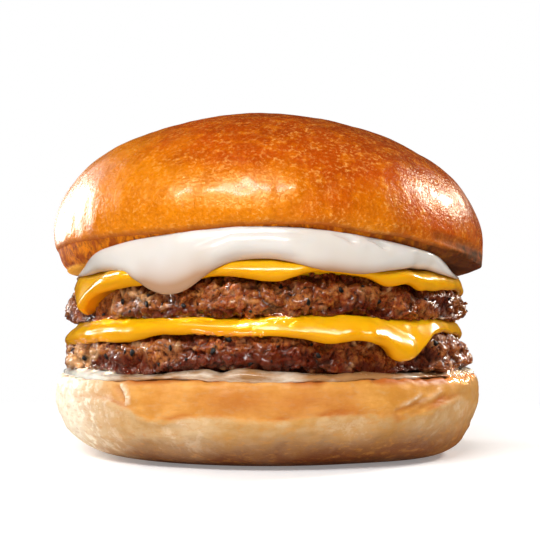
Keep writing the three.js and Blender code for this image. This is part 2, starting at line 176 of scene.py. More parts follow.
LOWER_CHEESE = {
    "bottom": LOWER_CHEESE_BOTTOM, "top": LOWER_CHEESE_BOTTOM + CHEESE_THICKNESS,
    "lean": LEAN_LOWER_PATTY, "shoulder": SHOULDER_RADIUS, "seed": 2, "wave": 0.2,
    "lean_out": [
        (-180, 1), (-66, 0.9), (-48, 0.6), (-30, 0.1), (-4, 0.1), (2, 1.6), (12, 2.2), (24, 1.6),
        (40, 1.5), (60, 0.9)],
    "rolls": [
        ([(1.5, 29), (5, 30.2), (10, 30.4), (15, 29.9), (21, 29.2), (28, 28.4)], 3.2, 1.3, 6),
        ([(25, 29.2), (30, 28), (35, 26.2)], 3.4, 1.2, 0),
        ([(-42, 30.4), (-54, 29.7), (-64, 29), (-74, 28.7), (-94, 28.8)], 2.6, 1.3, 9),
        ([(-50, 31), (-36, 30.6), (-24, 31.2), (-12, 30.7), (-2, 30.9)], 1.8, 0.5, 7)],
    "lip": [
        (-180, 28.4), (-160, 26.6), (-145, 25.4), (-125, 27.4), (-100, 27.4), (-80, 26.3),
        (-60, 27), (-48, 27.5), (-37, 27.6), (-28, 29), (-20, 29.2), (-8, 28.8), (0, 28.9),
        (6.5, 28.5), (13.5, 27.2), (19, 28), (25, 27.4), (28.5, 26.4), (31.2, 24.1), (34.8, 23.4),
        (38.5, 24), (41, 25.9), (45, 28.6), (50, 29.8), (60, 29.7), (75, 29.3), (95, 28),
        (118, 25.9), (140, 27.6)],
    "face": [
        (-180, 53.4), (-145, 54), (-110, 52.6), (-85, 50.9), (-72, 51.4), (-56, 52.6), (-30, 52.7),
        (-5, 52.4), (-1, 52.1), (2.5, 52.8), (6, 53.6), (10, 54.3), (14, 54.9), (18, 55),
        (25, 54.5), (35, 54.2), (48, 52.6), (62, 50.6), (90, 50.8), (118, 53.6), (150, 53.6)],
    "bead": [
        (-180, 2.4), (-145, 3), (-85, 3.4), (-60, 3), (-38, 2.8), (-20, 2), (0, 2), (13, 3),
        (24, 2.8), (34.8, 3.2), (46, 2.2), (70, 1.8), (95, 2.2), (118, 3)],
    "rise": [
        (-180, 1), (-90, 1), (-60, 1.6), (-30, 1.8), (-5, 1.2), (-1, 1.3), (2.5, 2.7), (10, 2.7),
        (18, 2.4), (40, 1.8), (60, 1.2), (90, 1)]}
CREAM = {
    "bottom": HEEL_TOP + 0.06, "top": CREAM_TOP, "lean": 0, "shoulder": CREAM_SHOULDER, "seed": 3,
    "wave": 0.3,
    "lean_out": [(-180, 0), (0, 0), (90, 0)],
    "rolls": [
        ([(-24, 20.5), (-15, 20.9), (-11, 20.4)], 1.1, 0.6, 2),
        ([(-12, 20.4), (-6, 21), (3, 20.5)], 1.1, 0.6, 2)],
    "lip": [
        (-180, 19.4), (-150, 19), (-120, 19.6), (-90, 19.7), (-70, 19.6), (-60, 19.1), (-50, 18.9),
        (-40, 19.1), (-28, 19.4), (-15, 19.6), (-8, 19.1), (0, 18.9), (10, 19.3), (17, 19.1),
        (24, 19.3), (30, 19.4), (38, 19.5), (63, 19.5), (90, 19.6), (120, 19.2), (150, 19.6)],
    "face": [
        (-180, 53.8), (-90, 52.8), (-66, 52.9), (-50, 53.9), (-30, 53.6), (-15, 53.4), (0, 54),
        (18, 53.8), (32, 53.2), (45, 52.8), (70, 52.6), (90, 52.8), (130, 53.8)],
    "bead": [
        (-180, 1), (-60, 1.3), (-30, 0.9), (-15, 0.8), (0, 1.2), (18, 1), (36, 0.7), (70, 0.7),
        (120, 1)],
    "rise": [
        (-180, 1), (-80, 0.7), (-58, 1), (-46, 0.3), (-38, -0.3), (-28, 0), (-21, 1.4), (-15, 1.8),
        (-11, 0.4), (-7, 2), (0, 1.4), (8, 0.4), (16, 0), (23, 0.8), (30, 0.1), (45, -0.2),
        (70, 0.6), (120, 1.2)]}

# How far fat has soaked into the cream sauce, by bearing.
CREAM_STAINS = [
    (-180, 0.4), (-120, 0.4), (-80, -0.3), (-54, -0.2), (-44, 0.15), (-36, 0.8), (-28, 1),
    (-22, 0.75), (-14, 0.65), (-6, 0.8), (0, 0.8), (6, 0.8), (14, 0.9), (20, 1.05), (28, 0.95),
    (38, 0.7), (50, 0.75), (66, 0.6), (100, 0.4)]

# Where sheets hang down: bearing, half-width and how much further they reach.
UPPER_CHEESE_HANGS = [
    (-54, 10, 6.4), (-72, 14, 2.2), (3, 9, 1.2), (47, 20, 1.6), (128, 20, 4.6), (-143, 17, 5.4)]
LOWER_CHEESE_HANGS = [(35, 10, 6), (-80, 16, 1.8), (118, 20, 3.6), (-145, 22, 4.2)]

# Height of the white sauce's lip, by bearing.
WHITE_SAUCE_LIP = [
    (-180, 41.5), (-150, 42.6), (-110, 43.4), (-75, 43.6), (-56, 43.6), (-47, 43.9), (-40, 43.4),
    (-35, 42.2), (-31, 40.2), (-27.5, 38.6), (-23.5, 37.9), (-19.5, 38.7), (-16.5, 40.4),
    (-13.2, 42.6), (-8.6, 44.7), (-4, 45.3), (1, 45.4), (5, 44.8), (9, 43.8), (12.5, 43.1),
    (18, 42.7), (23, 42.3), (28.6, 43.2), (35.5, 43.8), (41.7, 44.6), (51, 43.4), (60, 43),
    (70, 43.6), (90, 43.6), (130, 43.2), (160, 41.2)]

# The patties. Crests, sags and pulls are where the edge rises over its top, drops at its foot
# and stands in: bearing, half-width and how much. Reds are red-brown patches. The painted
# light and shade patches are painted shade, and painted light where the strength is below zero.
# Both give bearing, height, half-width, half-height and strength.
UPPER_PATTY = {
    "bottom": UPPER_PATTY_BOTTOM, "leans": (LEAN_LOWER_PATTY, LEAN_UPPER_PATTY), "seed": 37,
    "redness": 0.1, "cheese_reach": 4, "hangs": UPPER_CHEESE_HANGS,
    "crests": [(15, 10, 1.2), (-12, 9, 0.8), (36, 14, 0.4), (-44, 10, 0.5), (110, 16, 0.8)],
    "sags": [(-60, 12, 0.6), (38, 10, 0.4), (150, 20, 0.6)],
    "pulls": [(84, 18, 1.8), (-78, 16, 0.1)],
    "reds": [
        (16, 41.5, 13, 3, 1.2), (-10, 41.4, 9, 2, 1), (38, 39.5, 13, 3, 0.8),
        (52, 36, 10, 3.4, 0.6), (-24, 33.6, 18, 1.9, 0.7), (22, 34.4, 12, 2.4, 0.6),
        (8, 37.5, 7, 3, 0.3), (110, 36, 24, 5, 0.5), (-120, 36, 24, 5, 0.4)],
    "painted_light_and_shade": [
        (0, 37, 16, 7, 0.8), (18, 37, 16, 7, 0.9), (36, 37, 14, 7, 0.5), (-34, 37, 13, 5, -1.3),
        (-15, 37, 10, 3, -0.3)]}
LOWER_PATTY = {
    "bottom": LOWER_PATTY_BOTTOM, "leans": (0, LEAN_LOWER_PATTY), "seed": 11, "redness": 0.3,
    "cheese_reach": 4.6, "hangs": LOWER_CHEESE_HANGS,
    "crests": [(-14, 12, 0.5), (58, 12, 0.9), (-66, 9, 0.6), (150, 16, 0.6)],
    "sags": [(-35, 12, 1), (24, 12, 0.7), (52, 10, 0.5), (-120, 20, 0.6)],
    "pulls": [(-80, 16, -0.9), (80, 14, 0.8)],
    "reds": [
        (-40, 22.6, 14, 3.4, 1.6), (5, 24.5, 14, 4.4, 1.4), (22, 23, 9, 3.4, 0.5),
        (36, 21.5, 8, 2.6, 0.8), (-14, 24.6, 9, 3, 0.4), (120, 24, 24, 5, 0.6)],
    "painted_light_and_shade": [
        (-2, 24.5, 14, 6, 0.6), (20, 24.5, 16, 6, 0.7), (42, 24, 14, 6, 0.5),
        (-60, 25, 20, 6, -2.8), (-30, 26.8, 14, 2.2, -0.6), (17, 27.2, 8, 2, -0.5)]}

# Juice: bearing, height, half-width, half-height and depth of each film.
JUICE = [
    (-46.5, 32.5, 3.8, 0.9, 0.6), (-39.5, 32.7, 2.4, 0.8, 0.5), (-21, 32.9, 2.2, 0.8, 0.5),
    (-14.5, 33.1, 1.8, 0.8, 0.5), (-4, 31.8, 3.4, 1.3, 0.55), (2.5, 33, 3, 0.8, 0.5),
    (-16, 29.5, 3, 0.8, 0.5), (-6, 29.2, 2.4, 0.8, 0.5), (-44, 21.4, 3.2, 0.8, 0.5),
    (-52, 22, 1.8, 0.8, 0.3), (56, 21.8, 2.8, 1.2, 0.6), (64, 20.8, 2.6, 1, 0.6),
    (74, 21.6, 2, 1.1, 0.35), (49, 21, 1.8, 0.6, 0.3), (53.5, 19.4, 3, 1.4, 0.4),
    (60.5, 19, 3.2, 1.2, 0.4), (67, 19.8, 2.6, 1.2, 0.4), (-9, 40, 1.4, 1, 0.3),
    (150, 32.6, 3.4, 0.7, 0.35), (-130, 32.6, 2.6, 0.7, 0.35), (105, 21.6, 3, 0.7, 0.35),
    (-165, 21.6, 3, 0.7, 0.35), (-56, 22.1, 2.6, 0.9, 0.5), (-50.5, 21.9, 2.8, 0.8, 0.5)]

# Beads of juice: bearing, height, half-width in degrees, half-height and number of each group.
JUICE_BEADS = [
    (61, 20, 8, 2.2, 70), (72, 20.6, 6, 1.6, 18), (-48, 32.3, 6, 0.6, 16), (-20, 32.6, 5, 0.5, 10),
    (0, 31.4, 8, 1.6, 20), (-8, 29.3, 10, 0.6, 40), (-52, 28.4, 9, 0.7, 14),
    (-57, 21.8, 7, 0.8, 12), (-38, 21.2, 8, 0.6, 10), (42, 21.4, 9, 0.8, 14),
    (150, 32.4, 8, 0.8, 12), (-120, 21.4, 10, 0.8, 12), (-59, 25.6, 8, 2.4, 26)]

# Crumbles of mince at the slices' lips: bearing, height and width of each.
CRUMBLES = [
    (7.6, 41.9, 1.3), (9.2, 42.5, 1.6), (11, 42.8, 1.5), (12.8, 42.4, 1.9), (14.6, 42.7, 1.6),
    (16.2, 42.2, 1.8), (17.8, 42.8, 1.3), (19.5, 42.4, 1.7), (21.2, 42, 1.5), (23.4, 41.4, 1.4),
    (-10.2, 41.6, 1.2), (-8.4, 41.9, 1.4), (26, 40.6, 1.1), (31, 40.3, 1.2), (34, 40.6, 1),
    (43.5, 39.6, 1.1), (51, 39.9, 1.2), (-61, 25.9, 1.3), (-55, 26.6, 1.1), (-45, 27, 1.2),
    (58, 21.7, 1.4), (66, 21.4, 1.2)]

# Pepper: bearing and height of the larger specks on the front, patty by patty.
UPPER_PEPPER = [
    (-40.5, 36.7), (-31, 38), (-30.4, 35.8), (3.3, 39.4), (9.4, 36.2), (28.7, 36.4), (-20, 35.4),
    (18, 38.8), (44, 37.4), (57, 38)]
LOWER_PEPPER = [
    (-57, 23.7), (-62, 26), (-46, 24.4), (-34.7, 25.2), (-23.6, 26.3), (-13, 25.6), (-9.2, 28.1),
    (-4.1, 22.9), (12, 24.6), (48, 27.4)]


# ---------------------------------------------------------------- noise and curves

def corner_value(i, j, k):
    mixed = np.sin(i * 127.1 + j * 311.7 + k * 74.7) * 43758.5453
    return mixed - np.floor(mixed)


def unevenness(x, y, z):
    """Smooth unevenness between -1 and 1, the same for the same point."""
    x, y, z = np.broadcast_arrays(x, y, z)
    cells = [np.floor(along) for along in (x, y, z)]
    parts = [along - cell for along, cell in zip((x, y, z), cells)]
    parts = [part * part * (3 - 2 * part) for part in parts]
    value = np.zeros(x.shape)
    for corner in range(8):
        step = [corner & 1, corner >> 1 & 1, corner >> 2 & 1]
        weight = np.ones(x.shape)
        for part, on in zip(parts, step):
            weight = weight * (part if on else 1 - part)
        value += weight * corner_value(*[cell + on for cell, on in zip(cells, step)])
    return value * 2 - 1


def grain(points, size, seed=0.0, octaves=1):
    """Unevenness at points, with finer and finer layers on top."""
    total, depth = np.zeros(len(points)), 1.0
    for layer in range(octaves):
        spot = points / size * 2 ** layer + seed + 13.7 * layer
        total += depth * unevenness(*spot.T)
        depth *= 0.5
    return total


def layered(points, *layers):
    """Grains on top of each other: depth, size, seed and, if there are any, octaves of each."""
    return sum(depth * grain(points, *layer) for depth, *layer in layers)


def heap(points, size, seed=0.0, loose=0.9):
    """A packed heap of lumps: distance to the nearest middle, and that lump's number."""
    spots = points / size + seed
    home = np.round(spots)
    nearest, number = np.full(len(points), 9.0), np.zeros(len(points))
    for step in range(27):
        i, j, k = cell = [home[:, axis] + step // 3 ** axis % 3 - 1 for axis in range(3)]
        pulls = [corner_value(i, j, k), corner_value(j, k, i), corner_value(k, i, j)]
        away = sum((spots[:, axis] - cell[axis] - loose * (pulls[axis] - 0.5)) ** 2
                   for axis in range(3))
        nearer = away < nearest
        number = np.where(nearer, corner_value(i + 5, k + 3, j + 1), number)
        nearest = np.where(nearer, away, nearest)
    return np.sqrt(nearest), number


def ease(value, low, high):
    share = np.clip((value - low) / (high - low), 0, 1)
    return share * share * (3 - 2 * share)


def blend(low, high, share):
    return low + (high - low) * share


def bump(value, middle, width):
    """1 at the middle, falling smoothly to 0 a width away."""
    share = np.minimum(np.abs(value - middle) / width, 1)
    return (1 - share * share) ** 2


def turn_between(bearing, other):
    return (bearing - other + 180) % 360 - 180


def near(bearing, at, width):
    return bump(turn_between(bearing, at), 0, width)


def hang(bearing, at, width):
    return near(bearing, at, width * HANG_SPREAD)


def reach_at(bearing, base, hangs):
    return base + sum(reach * hang(bearing, at, width) for at, width, reach in hangs)


def lean_at(lean, radius, bearing):
    return lean * radius * np.cos(np.radians(bearing))


def round_the_edge(table, bearing):
    """A smooth closed curve through (bearing, value) points."""
    spots = np.array(table)
    spots = np.vstack([spots[-2:] - [360, 0], spots, spots[:2] + [360, 0]])
    slope = np.gradient(spots[:, 1], spots[:, 0])
    at = np.clip(np.searchsorted(spots[:, 0], bearing) - 1, 0, len(spots) - 2)
    run = spots[at + 1, 0] - spots[at, 0]
    t = (bearing - spots[at, 0]) / run
    return ((2 * t ** 3 - 3 * t ** 2 + 1) * spots[at, 1]
            + (t ** 3 - 2 * t ** 2 + t) * run * slope[at]
            + (3 * t ** 2 - 2 * t ** 3) * spots[at + 1, 1]
            + (t ** 3 - t ** 2) * run * slope[at + 1])


def curve(*points):
    """Points of the Bezier curve with these control points."""
    t = np.linspace(0, 1, 25)[:, None]
    rows = [np.array(point, float)[None, :] for point in points]
    while len(rows) > 1:
        rows = [a * (1 - t) + b * t for a, b in zip(rows, rows[1:])]
    return rows[0]


def evenly(points, spacing):
    """The same path with points about a spacing apart."""
    points = np.array(points, float)
    length = np.concatenate([[0], np.cumsum(np.linalg.norm(np.diff(points, axis=0), axis=1))])
    at = np.linspace(0, length[-1], max(1, round(length[-1] / spacing)) + 1)
    return np.stack([np.interp(at, length, points[:, axis]) for axis in (0, 1)], axis=1)


def joined(*paths):
    """One path of several that follow each other."""
    return np.vstack([paths[0]] + [path[1:] for path in paths[1:]])


def legs(start, *stops):
    """A path straight to each stop in turn: its radius, its height and the spacing up to it."""
    path = np.array([start], float)
    for radius, height, spacing in stops:
        path = joined(path, evenly([path[-1], (radius, height)], spacing))
    return path


# ---------------------------------------------------------------- mesh tools

def only(*pieces):
    bpy.ops.object.select_all(action="DESELECT")
    for piece in pieces:
        piece.select_set(True)
    bpy.context.view_layer.objects.active = pieces[0]


def close_up(piece):
    """Merges a piece's doubled points, turns its faces outward and smooths it."""
    only(piece)
    bpy.ops.object.mode_set(mode="EDIT")
    bpy.ops.mesh.select_all(action="SELECT")
    bpy.ops.mesh.remove_doubles(threshold=MERGE)
    bpy.ops.mesh.normals_make_consistent(inside=False)
    bpy.ops.object.mode_set(mode="OBJECT")
    bpy.ops.object.shade_smooth()


def spun(name, section, steps):
    """A closed solid spun round the Z axis from its cross-section of (radius, height)."""
    mesh = bpy.data.meshes.new(name)
    wire = [(0, -radius * MM, height * MM) for radius, height in section]
    mesh.from_pydata(wire, [(i, i + 1) for i in range(len(wire) - 1)], [])
    piece = bpy.data.objects.new(name, mesh)
    bpy.context.scene.collection.objects.link(piece)
    only(piece)
    turning = piece.modifiers.new("Turn", "SCREW")
    turning.axis, turning.angle = "Z", 2 * math.pi
    turning.steps = turning.render_steps = steps
    turning.use_merge_vertices, turning.merge_threshold = True, MERGE
    bpy.ops.object.modifier_apply(modifier="Turn")
    close_up(piece)
    return piece


def gathered(items, field):
    flat = np.zeros(len(items) * 3)
    items.foreach_get(field, flat)
    return flat.reshape(-1, 3)


def points_of(piece):
    """The piece's points in millimetres from the stack's axis."""
    return gathered(piece.data.vertices, "co") / MM


def set_points(piece, points):
    piece.data.vertices.foreach_set("co", (points * MM).astype(np.float32).ravel())
    piece.data.update()


def turned(points):
    """Radius, bearing in degrees and height of each point."""
    bearing = np.degrees(np.arctan2(points[:, 0], -points[:, 1]))
    return np.hypot(points[:, 0], points[:, 1]), bearing, points[:, 2].copy()


def placed(radius, bearing, height, shift=(0, 0)):
    turn = np.radians(bearing)
    return np.stack([radius * np.sin(turn) + shift[0], -radius * np.cos(turn) + shift[1],
                     height], axis=1)


def on_ring(radius, bearing):
    return placed(radius, bearing, 0 * bearing)


def push_out(piece, depth):
    """Moves each point along its direction by its depth in millimetres."""
    directions = gathered(piece.data.vertex_normals, "vector")
    set_points(piece, points_of(piece) + directions * depth[:, None])


def note(piece, name, values):
    """Keeps a value of each point for the finish to read."""
    values = np.broadcast_to(values, len(piece.data.vertices)).astype(np.float32)
    kept = piece.data.attributes.new(name, "FLOAT", "POINT")
    kept.data.foreach_set("value", np.ascontiguousarray(values))


def add_to_burger(piece, finish, node=None):
    """Finishes a piece. One that stands for a solid moves from the axis to its place first."""
    if node:
        set_points(piece, points_of(piece) + [*AXIS, 0])
    piece.data.materials.clear()
    piece.data.materials.append(finish)
    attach(piece, BODY)
    if node:
        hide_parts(node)


# ---------------------------------------------------------------- finishes

def linear(code):
    """Linear colour of a six-digit screen colour."""
    parts = [int(code[i:i + 2], 16) / 255 for i in (0, 2, 4)]
    return tuple(p / 12.92 if p <= 0.04045 else ((p + 0.055) / 1.055) ** 2.4 for p in parts)


class Nodes:
    """A tree of shader nodes, added one after another."""

    def __init__(self, owner):
        owner.use_nodes = True
        self.tree = owner.node_tree
        self.tree.nodes.clear()

    def add(self, kind, inputs=None, **settings):
        """Adds a node. Each of its inputs is a socket to link or a value to set."""
        node = self.tree.nodes.new("ShaderNode" + kind)
        for key, value in settings.items():
            setattr(node, key, value)
        for key, value in (inputs or {}).items():
            if isinstance(value, bpy.types.NodeSocket):
                self.tree.links.new(value, node.inputs[key])
            else:
                node.inputs[key].default_value = value
        return node

    def fit(self, value, low, high, to_low=0.0, to_high=1.0, smooth=False):
        return self.add("MapRange", {
            "Value": value, "From Min": low, "From Max": high, "To Min": to_low,
            "To Max": to_high}, interpolation_type="SMOOTHSTEP" if smooth else "LINEAR").outputs[0]

    def math(self, kind, a, b):
        return self.add("Math", {0: a, 1: b}, operation=kind).outputs[0]

    def plus(self, a, b):
        return self.math("ADD", a, b)

    def times(self, a, b):
        return self.math("MULTIPLY", a, b)

    def axes(self, place):
        return self.add("SeparateXYZ", {0: place}).outputs


class Finish(Nodes):
    """A material, read at the piece's own coordinates."""

    def __init__(self, name):
        self.material = bpy.data.materials.new(name)
        super().__init__(self.material)
        self.place = self.add("TexCoord").outputs["Object"]

    def kept(self, name):
        return self.add("Attribute", attribute_name=name).outputs["Fac"]

    def noise(self, size, detail=3.0, roughness=0.55, stretch=None, distortion=0.0):
        """Noise with features of a size in millimetres, which a stretch makes finer."""
        place = self.place
        if stretch:
            place = self.add("Mapping", {"Vector": place, "Scale": stretch}).outputs[0]
        return self.add("TexNoise", {
            "Vector": place, "Scale": 1 / (size * MM), "Detail": detail,
            "Roughness": roughness, "Distortion": distortion}).outputs["Fac"]

    def swing(self, noise, reach):
        """A noise's swing to both sides of its middle."""
        return self.times(self.math("SUBTRACT", noise, 0.5), reach)

    def rough(self, noise, low, high):
        """A noise's usual range as a roughness."""
        return self.fit(noise, 0.3, 0.7, low, high)

    def mix(self, base, top, share):
        base, top = (each if isinstance(each, bpy.types.NodeSocket) else (*each, 1)
                     for each in (base, top))
        return self.add("Mix", {0: share, 6: base, 7: top}, data_type="RGBA").outputs[2]

    def over(self, base, top, value, low, high, most=1.0):
        """Lays a colour over another where a value goes from low to high."""
        return self.mix(base, top, self.fit(value, low, high, 0.0, most))

    def ramp(self, value, *stops):
        node = self.add("ValToRGB", {"Fac": value})
        bar = node.color_ramp
        while len(bar.elements) > 1:
            bar.elements.remove(bar.elements[-1])
        bar.elements[0].position, bar.elements[0].color = stops[0][0], (*stops[0][1], 1)
        for position, colour in stops[1:]:
            bar.elements.new(position).color = (*colour, 1)
        return node.outputs["Color"]

    def skin(self, *layers):
        """Bump of one layer on another: a noise, its depth in millimetres and its strength."""
        normal = {}
        for noise, depth, strength in layers:
            bump = self.add("Bump", {
                "Height": noise, "Distance": depth * MM, "Strength": strength, **normal})
            normal = {"Normal": bump.outputs["Normal"]}
        return normal["Normal"]

    def surface(self, colour, roughness, soak=0, soak_depth=0, soak_colours=(1, 1, 1), **values):
        """The shader: how much light soaks in, how deep in millimetres, and its other sockets."""
        inputs = {"Base Color": colour, "Roughness": roughness}
        if soak:
            inputs.update({"Subsurface Weight": soak, "Subsurface Scale": soak_depth * MM,
                           "Subsurface Radius": soak_colours})
        inputs.update({key.replace("_", " "): value for key, value in values.items()})
        shader = self.add("BsdfPrincipled", inputs)
        self.add("OutputMaterial", {"Surface": shader.outputs[0]})
        return self.material


def burnt_side(f, across, most=1.0):
    """How burnt the top bun's underside is, towards the right."""
    uneven = f.swing(f.noise(5, 3, 0.6), 0.06)
    return f.fit(f.plus(across, uneven), 0.012, 0.046, 0.0, most, smooth=True)


def crust_finish(colours):
    """Glazed brioche crust: golden at the rim, browner on top, with a fine leathery grain."""
    f = Finish("glazed_crust")
    across, _, up = f.axes(f.place)
    fine, mid = f.noise(0.8, 3, 0.6, (0.95, 0.95, 1.05), 0.15), f.noise(3.0, 4, 0.62)
    # The left reads lower, so it turns golden sooner and the right browner: the golden left is
    # partly painted light from the left.
    tilt = f.plus(f.fit(across, -0.055, 0.0, -0.025, 0.0), f.fit(across, 0.0, 0.055, 0.0, 0.0154))
    level = f.plus(f.plus(up, tilt), f.swing(f.noise(17, 3), 0.030))
    colour = f.ramp(f.fit(level, 0.047, 0.087), (0.0, colours.crust_golden),
                    (0.2, colours.crust_golden), (0.55, colours.crust_orange),
                    (1.0, colours.crust_brown))
    colour = f.over(colour, colours.crust_brown, f.noise(7, 3, 0.6), 0.46, 0.68, 0.36)
    colour = f.over(colour, colours.crust_pale, mid, 0.48, 0.68, 0.42)
    # Pale flecks on the tips of the fine grain that also bumps the crust: partly pale skin, partly
    # painted glints. The line after the next darkens the grain's pits: painted shade.
    flecks = f.times(f.fit(fine, 0.53, 0.66), f.fit(f.noise(6, 3), 0.36, 0.60, 0.3, 1.0))
    colour = f.mix(colour, colours.crust_fleck_and_glint, f.times(flecks, 0.58))
    colour = f.over(colour, colours.crust_brown, fine, 0.47, 0.36, 0.2)
    below = f.mix(colours.crust_under, colours.crust_dark, burnt_side(f, across))
    below = f.over(below, colours.crust_orange, mid, 0.46, 0.64, 0.4)
    # Under is the underside, and also painted shade along the crease and in the groove.
    under = f.kept("under")
    colour = f.mix(colour, below, under)
    rough = f.plus(f.rough(f.noise(4, 3), 0.22, 0.34), f.times(under, 0.6))
    skin = f.skin((f.noise(1.6, 2), 0.05, 0.6), (mid, 0.14, 0.7), (fine, 0.19, 1.0))
    return f.surface(colour, rough, 0.05, 0.8, (1.0, 0.45, 0.2), Normal=skin,
                     Specular_IOR_Level=0.52, Specular_Tint=(1.0, 0.76, 0.30, 1),
                     Coat_Weight=f.fit(under, 0.0, 0.6, 0.2, 0.0), Coat_Roughness=0.12)


def underside_finish(colours):
    """Dull baked skin that turns under to the cut face, burnt towards the right."""
    f = Finish("baked_underside")
    across = f.axes(f.place)["X"]
    streaks, spots = f.noise(2.2, 4, 0.62, (1.3, 0.5, 0.6), 0.4), f.noise(1.3, 3, 0.6)
    colour = f.over(colours.crust_under, colours.crust_golden, streaks, 0.42, 0.60)
    colour = f.mix(colour, colours.crust_dark, burnt_side(f, across, 0.9))
    colour = f.over(colour, colours.crust_dark, spots, 0.46, 0.34, 0.5)
    colour = f.mix(colour, colours.crumb, f.kept("cut"))
    colour = f.mix(colour, colours.crust_edge, f.kept("toasted"))
    return f.surface(colour, f.rough(streaks, 0.66, 0.8), 0.06, 0.8, (1.0, 0.45, 0.2),
                     Normal=f.skin((streaks, 0.22, 0.8), (spots, 0.10, 0.8)),
                     Specular_IOR_Level=0.14)


def heel_finish(colours):
    """Soft bread skin: golden above the fold, pale below it and brown at the foot, with painted
    shade at the foot and along the fold.
    """
    f = Finish("soft_bun_skin")
    across, _, up = f.axes(f.place)
    mottle, flaky = f.noise(7, 4, 0.6), f.kept("flaky")
    level = f.noise(3.2, 4, 0.62, (0.4, 0.4, 1.5))
    fine = f.noise(1.1, 3, 0.6, (0.5, 0.5, 1.2))
    flakes = f.noise(2.2, 4, 0.66, (0.8, 0.8, 0.8), 0.3)
    fold = f.plus(f.kept("above_fold"), f.swing(level, 3.2))
    band = f.fit(fold, -0.5, 0.7, smooth=True)
    band = f.add("Mix", {0: f.kept("faded"), 2: band, 3: 0.3}, data_type="FLOAT").outputs[0]
    # The foot turns brown towards the floor: partly its baked colour, partly painted shade. It
    # stays paler towards the left and on the torn side: painted light from the left.
    low = f.plus(f.plus(up, f.swing(mottle, 0.006)), f.times(across, -0.035))
    low = f.plus(f.fit(low, 0.0014, 0.0104, smooth=True), f.times(flaky, 0.55))
    # Painted shade: the pale band turns tan towards the right.
    mottle_and_right_shade = f.plus(mottle, f.times(across, 2.2))
    pale = f.over(colours.heel_pale, colours.heel_tan, mottle_and_right_shade, 0.40, 0.64)
    pale = f.over(pale, colours.heel_tan, level, 0.50, 0.68, 0.5)
    upper = f.over(colours.heel_golden, colours.heel_light, mottle, 0.36, 0.60)
    upper = f.over(upper, colours.heel_golden, level, 0.50, 0.66, 0.7)
    upper = f.over(upper, colours.heel_light, level, 0.48, 0.34, 0.6)
    upper = f.over(upper, colours.heel_pale, fine, 0.54, 0.68, 0.35)
    # Deeper baked orange round the front, and painted shade in the notch and the crack.
    upper = f.mix(upper, colours.heel_bake_and_shade, f.times(f.kept("baked"), 0.55))
    colour = f.mix(f.mix(colours.heel_brown_and_shade, pale, low), upper, band)
    # Painted shade: a darker line just above the fold.
    line = f.times(f.fit(fold, 1.9, 0.5, smooth=True), band)
    line = f.times(line, f.fit(f.noise(9, 2), 0.42, 0.60, 0.0, 0.65))
    colour = f.mix(colour, colours.heel_bake_and_shade, line)
    shown = f.plus(f.times(f.fit(flakes, 0.50, 0.62), flaky), f.times(flaky, 0.55))
    colour = f.mix(colour, colours.heel_flake, f.times(shown, low))
    colour = f.over(colour, colours.heel_golden, fine, 0.46, 0.34, 0.35)
    colour = f.mix(colour, colours.toast, f.kept("toast"))
    colour = f.mix(colour, colours.crumb, f.kept("cut"))
    return f.surface(colour, f.rough(mottle, 0.40, 0.54), 0.14, 1.8, (1.0, 0.6, 0.35),
                     Normal=f.skin((level, 0.26, 0.8), (f.noise(0.7, 4, 0.6), 0.09, 0.8)),
                     Specular_IOR_Level=0.36, Specular_Tint=(1.0, 0.9, 0.74, 1),
                     Coat_Weight=0.05, Coat_Roughness=0.3)


def beef_finish(colours):
    """Seared mince: wet brown lumps, red-brown patches, fat and glints, with painted shade in the
    crevices and pits and painted light where the mince stands out.
    """
    f = Finish("seared_mince")
    fine = f.noise(0.7, 5, 0.68)
    colour = f.mix(colours.beef_brown, colours.beef_grey, f.kept("tone"))
    colour = f.over(colour, colours.beef_tan, f.noise(1.7, 3, 0.6), 0.48, 0.66, 0.6)
    # Tan on the tips of the fine grain that also bumps the surface: partly lighter strands, partly
    # painted highlight.
    colour = f.over(colour, colours.beef_tan, fine, 0.53, 0.66, 0.7)
    colour = f.mix(colour, colours.beef_red, f.times(f.kept("redness"), 0.85))
    # Painted shade: darker in the pits of the fine grain that also bumps the surface.
    colour = f.over(colour, colours.beef_shade, fine, 0.47, 0.36, 0.85)
    colour = f.mix(colour, colours.beef_fat, f.times(f.kept("fat"), 0.62))
    # Painted shade in the crevices, from the sunk and creased parts of the shape.
    colour = f.mix(colour, colours.beef_shade, f.kept("cleft_shade"))
    rough = f.fit(f.noise(3.2, 3, 0.55), 0.42, 0.58, 0.16, 0.42)
    return f.surface(colour, rough, 0.05, 0.6, (1.0, 0.35, 0.2),
                     Normal=f.skin((fine, 0.34, 1.0), (f.noise(0.4, 2, 0.5), 0.2, 1.0)),
                     Specular_IOR_Level=0.36, Specular_Tint=(1.0, 0.84, 0.66, 1),
                     Coat_Weight=0.5, Coat_Roughness=0.05)


def cheese_finish(colours):
    """Melted slice: smooth and glossy, deeper orange towards its lip."""
    f = Finish("melted_cheese")
    streaks = f.noise(2.4, 3, 0.6, (0.5, 0.5, 1.2))
    # Deeper orange at the lip: partly the thicker bead, partly painted shade under it.
    colour = f.mix(colours.cheese, colours.cheese_deep, f.kept("lip"))
    colour = f.over(colour, colours.cheese_deep, f.noise(9, 3), 0.35, 0.7, 0.3)
    colour = f.over(colour, colours.cheese_deep, streaks, 0.5, 0.75, 0.35)
    return f.surface(colour, f.rough(f.noise(4, 2), 0.15, 0.24), 0.35, 1.6, (1.0, 0.5, 0.1),
                     Normal=f.skin((streaks, 0.06, 0.5), (f.noise(1.4, 2), 0.03, 0.6)),
                     Specular_IOR_Level=0.42, Specular_Tint=(1.0, 0.96, 0.86, 1))


